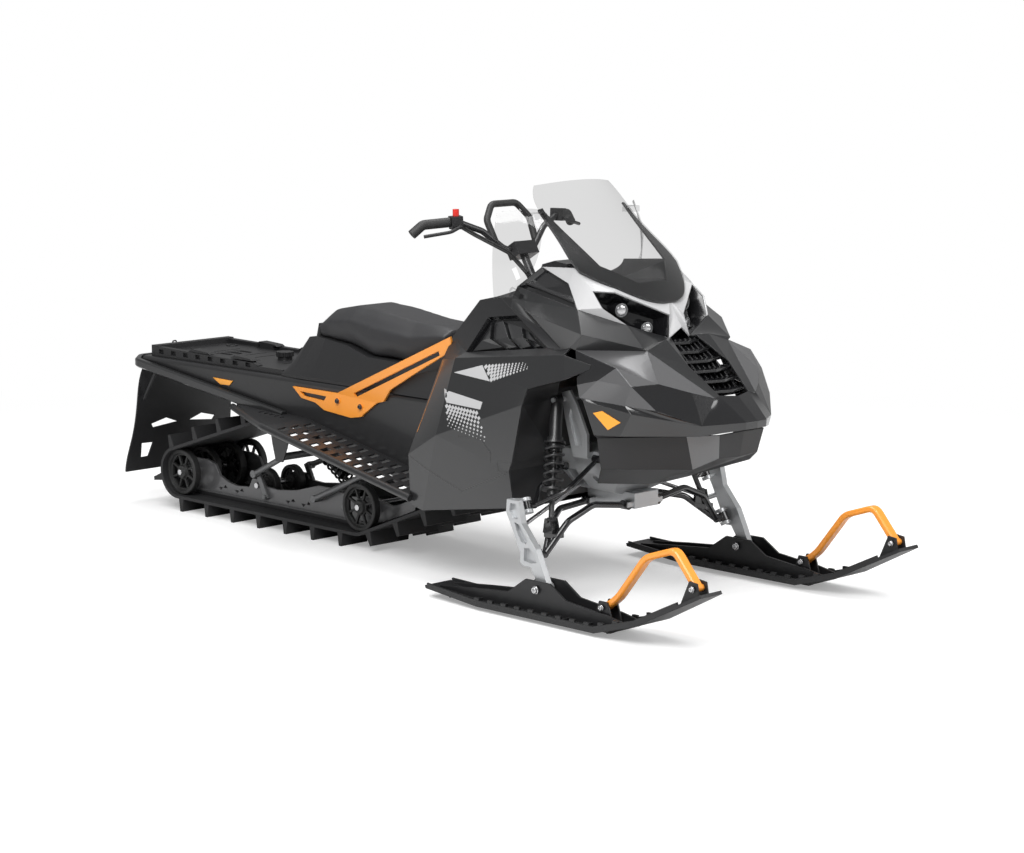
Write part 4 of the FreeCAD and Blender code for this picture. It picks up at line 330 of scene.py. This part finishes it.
PROUD = 0.0005
RAY_START_Y = 1.0
PATCH_PARTS = 10
LINE_STEP = 0.008
PINSTRIPE_WIDTH = 0.0022
# Width of the dark crease lines, which are painted shade, and of the access plate's dark seam
CREASE_SHADE_AND_SEAM_WIDTH = 0.005
DOT_SIZE = 0.0092
DOT_FADE = 0.78

# Each field of colour in side view, in metres: start and end of its low edge, then of its top edge.
# A wedge that breaks up into dots, and below it a band over rows of dots
UPPER_WEDGE = [(0.400, 0.741), (0.575, 0.729), (0.400, 0.742), (0.527, 0.778)]
UPPER_DOTS = [(0.585, 0.731), (0.748, 0.788), (0.540, 0.779), (0.720, 0.806)]
UPPER_COLUMNS = 12
UPPER_ROWS = 5
LOWER_BAND = [(0.386, 0.640), (0.548, 0.634), (0.352, 0.683), (0.554, 0.659)]
LOWER_DOTS = [(0.412, 0.560), (0.590, 0.520), (0.388, 0.634), (0.545, 0.628)]
LOWER_COLUMNS = 11
LOWER_ROWS = 7
# Lines in side view: two creases, drawn dark as painted shade in the folds, and the outline of an access
# plate, its dark seam
LOW_CREASE = [(0.216, 0.438), (0.464, 0.347), (0.658, 0.428)]
FRONT_CREASE = [(0.455, 0.535), (0.553, 0.537), (0.595, 0.495), (0.595, 0.460)]
ACCESS_PLATE = [(0.624, 0.464), (0.700, 0.470), (0.700, 0.437), (0.627, 0.432), (0.624, 0.464)]
PINSTRIPE = [(0.268, 0.768), (0.226, 0.520)]


def surface_of(node):
    mesh = frame["nodes"][node].data
    corners = [vertex.co.copy() for vertex in mesh.vertices]
    return BVHTree.FromPolygons(corners, [tuple(polygon.vertices) for polygon in mesh.polygons])


SIDE_SURFACE = surface_of("side_panels")


def on_side(x, z, side):
    """Place just outside the side panel, found from outside along Y, and the face's outward normal."""
    start = Vector((x, side * RAY_START_Y, z))
    spot, normal, index, distance = SIDE_SURFACE.ray_cast(start, Vector((0, -side, 0)))
    if spot is None:
        return None
    if normal.y * side < 0:
        normal = -normal
    return spot + normal * PROUD, normal


def between(start, end, share):
    return (start[0] + (end[0] - start[0]) * share, start[1] + (end[1] - start[1]) * share)


def patch(corners, side):
    """A patch of colour between a low and a top edge, laid on the side panel."""
    vertices = []
    faces = []
    low_start, low_end, top_start, top_end = corners
    for row in range(PATCH_PARTS + 1):
        for column in range(PATCH_PARTS + 1):
            low = between(low_start, low_end, column / PATCH_PARTS)
            top = between(top_start, top_end, column / PATCH_PARTS)
            found = on_side(*between(low, top, row / PATCH_PARTS), side)
            if found is None:
                return [], []
            vertices.append(found[0])
    width = PATCH_PARTS + 1
    for row in range(PATCH_PARTS):
        for column in range(PATCH_PARTS):
            corner = row * width + column
            faces.append((corner, corner + 1, corner + width + 1, corner + width))
    return vertices, faces


def dot(x, z, size, side):
    """A small diamond laid on the side panel."""
    found = on_side(x, z, side)
    if found is None:
        return [], []
    spot, normal = found
    across = Vector((1, 0, 0)) - normal * normal.x
    across.normalize()
    up = normal.cross(across)
    vertices = [spot - across * size, spot - up * size, spot + across * size, spot + up * size]
    return vertices, [(0, 1, 2, 3)]


def dot_field(corners, columns, rows, side, fade_along):
    """Rows of dots that shrink along the field, or towards its low edge."""
    parts = []
    low_start, low_end, top_start, top_end = corners
    for column in range(columns):
        for row in range(rows):
            along = (column + 0.5 * (row % 2)) / columns
            rise = (row + 0.5) / rows
            x, z = between(between(low_start, low_end, along), between(top_start, top_end, along), rise)
            fade = along if fade_along else 1 - rise
            parts.append(dot(x, z, DOT_SIZE * (1.0 - DOT_FADE * fade), side))
    return joined(parts)


def line(points, width, side):
    """A thin line laid on the side panel."""
    vertices = []
    faces = []
    for start, end in zip(points, points[1:]):
        parts = max(1, round(math.dist(start, end) / LINE_STEP))
        row = []
        for part in range(parts + 1):
            found = on_side(*between(start, end, part / parts), side)
            if found is not None:
                row.append(found)
        for (spot, normal), (next_spot, next_normal) in zip(row, row[1:]):
            along = (next_spot - spot).normalized()
            edge = normal.cross(along) * (width / 2)
            next_edge = next_normal.cross(along) * (width / 2)
            first = len(vertices)
            vertices += [spot - edge, spot + edge, next_spot + next_edge, next_spot - next_edge]
            faces.append((first, first + 1, first + 2, first + 3))
    return vertices, faces


def make_graphics():
    for side, word in SIDES:
        light = [
            patch(UPPER_WEDGE, side),
            dot_field(UPPER_DOTS, UPPER_COLUMNS, UPPER_ROWS, side, True),
            patch(LOWER_BAND, side),
            dot_field(LOWER_DOTS, LOWER_COLUMNS, LOWER_ROWS, side, False),
        ]
        new_piece("side_graphic_" + word, *joined(light), "light_grey")
        new_piece("side_pinstripe_" + word, *line(PINSTRIPE, PINSTRIPE_WIDTH, side), "orange_paint")
        # The dark strips along the two creases are painted shade in the folds; the strip round the access
        # plate is its dark seam
        crease_shade_and_seams = [line(points, CREASE_SHADE_AND_SEAM_WIDTH, side) for points in (LOW_CREASE, FRONT_CREASE, ACCESS_PLATE)]
        new_piece("side_seams_" + word, *joined(crease_shade_and_seams), "gloss_black")


make_graphics()


# Reflectors on the tunnel's sides

TUNNEL_REFLECTOR = [(-1.119, 0.555), (-0.999, 0.553), (-1.019, 0.534), (-1.075, 0.533)]
REFLECTOR_FACES_Y = (0.2152, 0.2187)


def make_tunnel_reflectors():
    for side, word in SIDES:
        vertices = [Vector((x, side * y, z)) for y in REFLECTOR_FACES_Y for x, z in TUNNEL_REFLECTOR]
        faces = [(0, 1, 2, 3), (4, 5, 6, 7), (0, 1, 5, 4), (1, 2, 6, 5), (2, 3, 7, 6), (3, 0, 4, 7)]
        new_piece("tunnel_reflector_" + word, vertices, faces, "amber_lens")


make_tunnel_reflectors()


# Bolts, all turned from a short profile round their own axis

OUT = (0, -1, 0)
IN = (0, 1, 0)
TURNED_SIDES = 24
# Radius and height, as shares of the head's radius
BOLT_PROFILE = [(1.25, 0), (1.25, 0.22), (1, 0.3), (0.95, 0.75), (0.85, 0.85), (0.5, 0.85), (0.45, 0.4)]
BOLT_RADIUS = 0.008
BRACE_FACE = 0.2293
BRACE_BOLTS = [(-0.386, 0.543), (-0.262, 0.535)]


def turned(place, heading, profile, sides=TURNED_SIDES):
    """A turned form: the profile lists radius and height along the heading."""
    heading = heading.normalized()
    across = heading.orthogonal().normalized()
    up = heading.cross(across)
    vertices = []
    for radius, height in profile:
        for number in range(sides):
            angle = 2 * math.pi * number / sides
            outward = across * math.cos(angle) + up * math.sin(angle)
            vertices.append(place + heading * height + outward * radius)
    faces = ring_faces(len(profile), sides)
    faces.append(tuple(range((len(profile) - 1) * sides, len(profile) * sides)))
    return vertices, faces


def bolt(place, heading, radius):
    """Flanged head with a hollow in its middle."""
    return turned(place, heading, [(radius * wide, radius * high) for wide, high in BOLT_PROFILE])


def mirrored_bolts(name, places, radius, slot, body=None):
    """Bolts on the right side, each a place and a heading, and the same on the left."""
    for mirror, word in MIRRORS:
        parts = []
        for (x, y, z), heading in places:
            outward = Vector((heading[0], heading[1] * mirror, heading[2]))
            parts.append(bolt(Vector((x, y * mirror, z)), outward, radius))
        new_piece(name + "_" + word, *joined(parts), slot, body + "_" + word if body else "root")


brace_places = [((x, -BRACE_FACE, z), OUT) for x, z in BRACE_BOLTS]
mirrored_bolts("brace_bolts", brace_places, BOLT_RADIUS, "gloss_black")


# Headlamps: a ring and a lens on each lamp, given by its middle and its radius

LAMPS = [(0.946, -0.158, 0.978, 0.024), (1.004, -0.098, 0.918, 0.022)]
LAMP_HEADING = Vector((0.93, -0.3, -0.05)).normalized()
LAMP_PROUD = 0.0032
# Radius as a share of the lamp's, and height in metres
LAMP_RING = [(0.98, 0), (0.98, 0.002), (0.84, 0.0032), (0.78, 0.001)]
RING_SIDES = 40
LENS_PROUD = 0.0012
LENS_REACH = 0.74
LENS_BULGE = 0.16
LENS_STEPS = 7
LENS_SIDES = 32


def lens_profile(radius):
    """A flat dome, open at its very middle, which the turned form closes."""
    profile = []
    for step in range(LENS_STEPS):
        angle = math.pi / 2 * step / LENS_STEPS
        profile.append((radius * LENS_REACH * math.cos(angle), radius * LENS_BULGE * math.sin(angle)))
    return profile


def make_lamp_lenses():
    for mirror, word in MIRRORS:
        rings = []
        lenses = []
        heading = Vector((LAMP_HEADING.x, LAMP_HEADING.y * mirror, LAMP_HEADING.z))
        for x, y, z, radius in LAMPS:
            place = Vector((x, y * mirror, z)) + heading * LAMP_PROUD
            ring = [(radius * wide, high) for wide, high in LAMP_RING]
            rings.append(turned(place, heading, ring, RING_SIDES))
            lenses.append(turned(place + heading * LENS_PROUD, heading, lens_profile(radius), LENS_SIDES))
        new_piece("lamp_rings_" + word, *joined(rings), "grey_alloy")
        new_piece("lamp_lenses_" + word, *joined(lenses), "bright_steel")


make_lamp_lenses()


# Side vents: upright fins with a crease, each tucked behind the edge of the one before it, over a black tray
# that is painted shade

VENT_LOW_REAR = Vector((0.398, -0.335, 0.805))
VENT_TOP_REAR = Vector((0.449, -0.280, 0.924))
VENT_TOP_FRONT = Vector((0.590, -0.284, 0.942))
VENT_LOW_FRONT = Vector((0.781, -0.332, 0.854))
VENT_DEPTH = 0.021
# Places of the fins' edges in side view, from the rear to the front: top, crease and foot
VENT_EDGES = [
    [(0.458, 0.905), (0.446, 0.850), (0.412, 0.815)],
    [(0.474, 0.910), (0.500, 0.857), (0.572, 0.837)],
    [(0.532, 0.918), (0.587, 0.868), (0.637, 0.844)],
    [(0.630, 0.906), (0.655, 0.876), (0.703, 0.853)],
    [(0.694, 0.880), (0.722, 0.868), (0.746, 0.858)],
]
CREASE_RISE = 0.006
FIN_SINK_REAR = 0.013
FIN_SINK_FRONT = 0.001
FIN_GAP = 0.004
FIN_CLEARANCE = 0.001
TRAY_SINK = 0.001
TRAY_TAPER = 0.94


def vent_spot(x, z, rise):
    """Place over or under the side vent's opening on the right side."""
    outward = (VENT_LOW_FRONT - VENT_LOW_REAR).cross(VENT_TOP_REAR - VENT_LOW_REAR).normalized()
    if outward.y > 0:
        outward = -outward
    step = Vector((x - VENT_LOW_REAR.x, 0, z - VENT_LOW_REAR.z))
    y = VENT_LOW_REAR.y - (outward.x * step.x + outward.z * step.z) / outward.y
    return Vector((x, y, z)) + outward * rise


def vent_fins():
    """Fins between the edges, each with a face that turns inwards at its front."""
    faces = [(0, 1, 4, 3), (3, 4, 7, 6), (1, 2, 5, 4), (4, 5, 8, 7), (0, 2, 1), (6, 7, 8)]
    parts = []
    for rear_edge, front_edge in zip(VENT_EDGES, VENT_EDGES[1:]):
        vertices = []
        for lift, rear, front in zip((0, CREASE_RISE, 0), rear_edge, front_edge):
            vertices.append(vent_spot(rear[0] + FIN_GAP, rear[1], lift - FIN_SINK_REAR))
            vertices.append(vent_spot(front[0] - FIN_GAP, front[1], lift - FIN_SINK_FRONT))
            vertices.append(vent_spot(front[0] - FIN_GAP, front[1], FIN_CLEARANCE - VENT_DEPTH))
        parts.append((vertices, faces))
    return joined(parts)


def vent_shade_tray():
    """Shallow tray behind the fins, a little narrower at its floor, made black as painted shade for the dark
    space inside the vent.
    """
    corners = (VENT_LOW_REAR, VENT_TOP_REAR, VENT_TOP_FRONT, VENT_LOW_FRONT)
    middle = sum(corners, Vector()) / len(corners)
    rim = [vent_spot(corner.x, corner.z, -TRAY_SINK) for corner in corners]
    back = []
    for corner in corners:
        inner = middle + (corner - middle) * TRAY_TAPER
        back.append(vent_spot(inner.x, inner.z, -VENT_DEPTH))
    faces = [(4, 5, 6, 7)]
    for number in range(4):
        following = (number + 1) % 4
        faces.append((number, following, following + 4, number + 4))
    return rim + back, faces


def mirrored(vertices, mirror):
    return [Vector((vertex.x, vertex.y * mirror, vertex.z)) for vertex in vertices]


def make_vents():
    fins, fin_faces = vent_fins()
    tray, tray_faces = vent_shade_tray()
    for mirror, word in MIRRORS:
        piece = new_piece("side_vent_fins_" + word, mirrored(fins, mirror), fin_faces, "charcoal_paint")
        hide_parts("side_louvres")
        # The tray's black is painted shade: it stands in for the dark space behind the fins
        new_piece("side_vent_tray_" + word, mirrored(tray, mirror), tray_faces, "gloss_black")


make_vents()


# Ski handles: a thick band with bevelled edges along the bent bar

SKI_MIDDLE = 0.4965
HANDLE_LINE = [(1.210, 0.084), (1.262, 0.120), (1.380, 0.268), (1.500, 0.308), (1.590, 0.203)]
HANDLE_WIDTH = 0.0355
HANDLE_THICKNESS = 0.021
HANDLE_BEVEL = 0.0045
HANDLE_BEND = 0.024
BEND_STEPS = 6


def rounded_line(points, reach):
    """The line with each corner turned into a short curve."""
    spots = [Vector(points[0])]
    for before, corner, after in zip(points, points[1:], points[2:]):
        before, corner, after = Vector(before), Vector(corner), Vector(after)
        start = corner + (before - corner).normalized() * reach
        end = corner + (after - corner).normalized() * reach
        for step in range(BEND_STEPS + 1):
            share = step / BEND_STEPS
            spots.append(start * (1 - share) ** 2 + corner * 2 * share * (1 - share) + end * share ** 2)
    spots.append(Vector(points[-1]))
    return spots


def handle_band(middle):
    """The band's outline across, carried along the rounded line."""
    wide = HANDLE_WIDTH / 2
    high = HANDLE_THICKNESS / 2
    flat = wide - HANDLE_BEVEL
    upright = high - HANDLE_BEVEL
    section = [(-flat, -high), (flat, -high), (wide, -upright), (wide, upright),
               (flat, high), (-flat, high), (-wide, upright), (-wide, -upright)]
    spots = rounded_line(HANDLE_LINE, HANDLE_BEND)
    vertices = []
    for number, spot in enumerate(spots):
        along = (spots[min(number + 1, len(spots) - 1)] - spots[max(number - 1, 0)]).normalized()
        for across, up in section:
            vertices.append(Vector((spot.x - along.y * up, middle + across, spot.y + along.x * up)))
    count = len(section)
    ends = [tuple(range(count)), tuple(range(len(vertices) - count, len(vertices)))]
    return vertices, ends + ring_faces(len(spots), count)


def make_handles():
    for side, word in SIDES:
        vertices, faces = handle_band(side * SKI_MIDDLE)
        new_piece("ski_handle_band_" + word, vertices, faces, "orange_paint", "ski_" + word)


make_handles()


# Bolts of the skis, through the handle's ears and through the saddle

EAR_REACH = 0.0293
SADDLE_REACH = 0.044
SADDLE_BOLT = (0.933, 0.100)
SADDLE_BOLT_RADIUS = 0.011


def bolt_pair(place, reach):
    """Bolts on the outer and the inner face of a fitting on the right ski."""
    x, z = place
    return [((x, -SKI_MIDDLE - reach, z), OUT), ((x, -SKI_MIDDLE + reach, z), IN)]


handle_places = bolt_pair(HANDLE_LINE[0], EAR_REACH) + bolt_pair(HANDLE_LINE[-1], EAR_REACH)
mirrored_bolts("ski_handle_bolts", handle_places, BOLT_RADIUS, "bright_steel", "ski")
mirrored_bolts("ski_saddle_bolts", bolt_pair(SADDLE_BOLT, SADDLE_REACH), SADDLE_BOLT_RADIUS,
               "bright_steel", "ski")


# Pegs along the skis' rims

PEG_COUNT = 11
PEG_START = 0.700
PEG_SPACING = 0.062
PEG_HALF_LENGTH = 0.011
PEG_HALF_WIDTH = 0.005
PEG_SINK = 0.004
PEG_RISE = 0.010
RIM_REACH = 0.0795
RIM_HEIGHT = 0.034
RIM_BEND_X = 1.228
RIM_SLOPE = 0.27


def box_form(low, high):
    """A block between two corners."""
    spans = list(zip(low, high))
    corners = [Vector((x, y, z)) for x in spans[0] for y in spans[1] for z in spans[2]]
    return corners, [(0, 1, 3, 2), (4, 6, 7, 5), (0, 4, 5, 1), (2, 3, 7, 6), (0, 2, 6, 4), (1, 5, 7, 3)]


def make_ski_pegs():
    for side, word in SIDES:
        parts = []
        for number in range(PEG_COUNT):
            x = PEG_START + number * PEG_SPACING
            rim = RIM_HEIGHT + max(0.0, x - RIM_BEND_X) * RIM_SLOPE
            for edge in (-1, 1):
                y = side * SKI_MIDDLE + edge * RIM_REACH
                low = (x - PEG_HALF_LENGTH, y - PEG_HALF_WIDTH, rim - PEG_SINK)
                high = (x + PEG_HALF_LENGTH, y + PEG_HALF_WIDTH, rim + PEG_RISE)
                parts.append(box_form(low, high))
        new_piece("ski_pegs_" + word, *joined(parts), "black_plastic", "ski_" + word)


make_ski_pegs()


# Floor and backdrop: pale, with a soft shadow near the object and plain white away from it

FLOOR_SIZE = 60.0
FLOOR_COLOUR = (0.80, 0.80, 0.80, 1)
FLOOR_ROUGHNESS = 0.9
FLOOR_LIFT = 0.30
SHADOW_REACH = 2.4
WHITE_REACH = 4.6
WHITE = 1.0
AMBIENT = 0.32


def seen_directly(nodes, links):
    """One for rays from the camera, also through clear sheets, and nothing for the rest."""
    path = nodes.new("ShaderNodeLightPath")
    seen = nodes.new("ShaderNodeMath")
    seen.operation = "MAXIMUM"
    links.new(path.outputs["Is Camera Ray"], seen.inputs[0])
    links.new(path.outputs["Is Transmission Ray"], seen.inputs[1])
    return seen.outputs[0]


def glow(nodes, strength):
    emission = nodes.new("ShaderNodeEmission")
    emission.inputs["Strength"].default_value = strength
    return emission.outputs["Emission"]


def distance_share(nodes, links):
    """Grows from nothing to one between the shadow's reach and the white."""
    place = nodes.new("ShaderNodeTexCoord")
    distance = nodes.new("ShaderNodeVectorMath")
    distance.operation = "LENGTH"
    links.new(place.outputs["Object"], distance.inputs[0])
    share = nodes.new("ShaderNodeMapRange")
    share.interpolation_type = "SMOOTHSTEP"
    share.inputs["From Min"].default_value = SHADOW_REACH
    share.inputs["From Max"].default_value = WHITE_REACH
    links.new(distance.outputs["Value"], share.inputs["Value"])
    return share.outputs["Result"]


def mixed(nodes, links, share, first, second):
    mix = nodes.new("ShaderNodeMixShader")
    links.new(share, mix.inputs["Fac"])
    links.new(first, mix.inputs[1])
    links.new(second, mix.inputs[2])
    return mix.outputs["Shader"]


def make_floor():
    bpy.ops.mesh.primitive_plane_add(size=FLOOR_SIZE, location=(0, 0, 0))
    floor = bpy.context.object
    floor.name = "floor"
    material, nodes, links = new_material("floor")
    lit = nodes["Principled BSDF"]
    lit.inputs["Base Color"].default_value = FLOOR_COLOUR
    lit.inputs["Roughness"].default_value = FLOOR_ROUGHNESS
    lit.inputs["Specular IOR Level"].default_value = 0.0
    near = nodes.new("ShaderNodeAddShader")
    links.new(lit.outputs["BSDF"], near.inputs[0])
    links.new(glow(nodes, FLOOR_LIFT), near.inputs[1])
    seen_floor = mixed(nodes, links, distance_share(nodes, links), near.outputs["Shader"], glow(nodes, WHITE))
    whole = mixed(nodes, links, seen_directly(nodes, links), lit.outputs["BSDF"], seen_floor)
    links.new(whole, nodes["Material Output"].inputs["Surface"])
    floor.data.materials.append(material)


def make_world():
    world = bpy.data.worlds.new("studio")
    bpy.context.scene.world = world
    world.use_nodes = True
    nodes = world.node_tree.nodes
    links = world.node_tree.links
    strength = nodes.new("ShaderNodeMix")
    strength.data_type = "FLOAT"
    strength.inputs["A"].default_value = AMBIENT
    strength.inputs["B"].default_value = WHITE
    links.new(seen_directly(nodes, links), strength.inputs["Factor"])
    background = nodes["Background"]
    background.inputs["Color"].default_value = (1, 1, 1, 1)
    links.new(strength.outputs["Result"], background.inputs["Strength"])


# Lights: name, place, aim, size and power

LIGHTS = [
    ("key", (2.5, -4.5, 5.0), (0, 0, 0.5), (4.0, 3.0), 340),
    ("side", (5.5, 2.0, 3.0), (0.3, 0, 0.6), (3.0, 3.0), 130),
    ("top", (-0.5, 0.0, 5.5), (-0.3, 0, 0.5), (5.0, 3.0), 230),
]


def facing(direction):
    """Rotation that turns a light or a camera along the direction, upright."""
    return direction.to_track_quat("-Z", "Y").to_euler()


def area_light(name, place, aim, size, power):
    data = bpy.data.lights.new(name, "AREA")
    data.shape = "RECTANGLE"
    data.size, data.size_y = size
    data.energy = power
    light = bpy.data.objects.new(name, data)
    light.location = place
    light.rotation_euler = facing(Vector(aim) - Vector(place))
    bpy.context.scene.collection.objects.link(light)


# Camera: solved from the photograph, with its focal length in the photograph's pixels

CAMERA_PLACE = (6.92344, -6.59707, 2.00152)
CAMERA_YAW = math.radians(135.194)
CAMERA_PITCH = math.radians(-9.115)
FOCAL_LENGTH_PIXELS = 2700.0
PHOTO_WIDTH_PIXELS = 1024.0
SENSOR_MM = 36.0
CLIP_END = 200.0


def make_camera():
    data = bpy.data.cameras.new("camera")
    data.sensor_width = SENSOR_MM
    data.lens = FOCAL_LENGTH_PIXELS * SENSOR_MM / PHOTO_WIDTH_PIXELS
    data.clip_end = CLIP_END
    camera = bpy.data.objects.new("camera", data)
    bpy.context.scene.collection.objects.link(camera)
    level = math.cos(CAMERA_PITCH)
    ahead = Vector((math.cos(CAMERA_YAW) * level, math.sin(CAMERA_YAW) * level, math.sin(CAMERA_PITCH)))
    camera.location = CAMERA_PLACE
    camera.rotation_euler = facing(ahead)
    bpy.context.scene.camera = camera


make_floor()
make_world()
for light_values in LIGHTS:
    area_light(*light_values)
make_camera()
bpy.context.scene.view_settings.view_transform = "Standard"
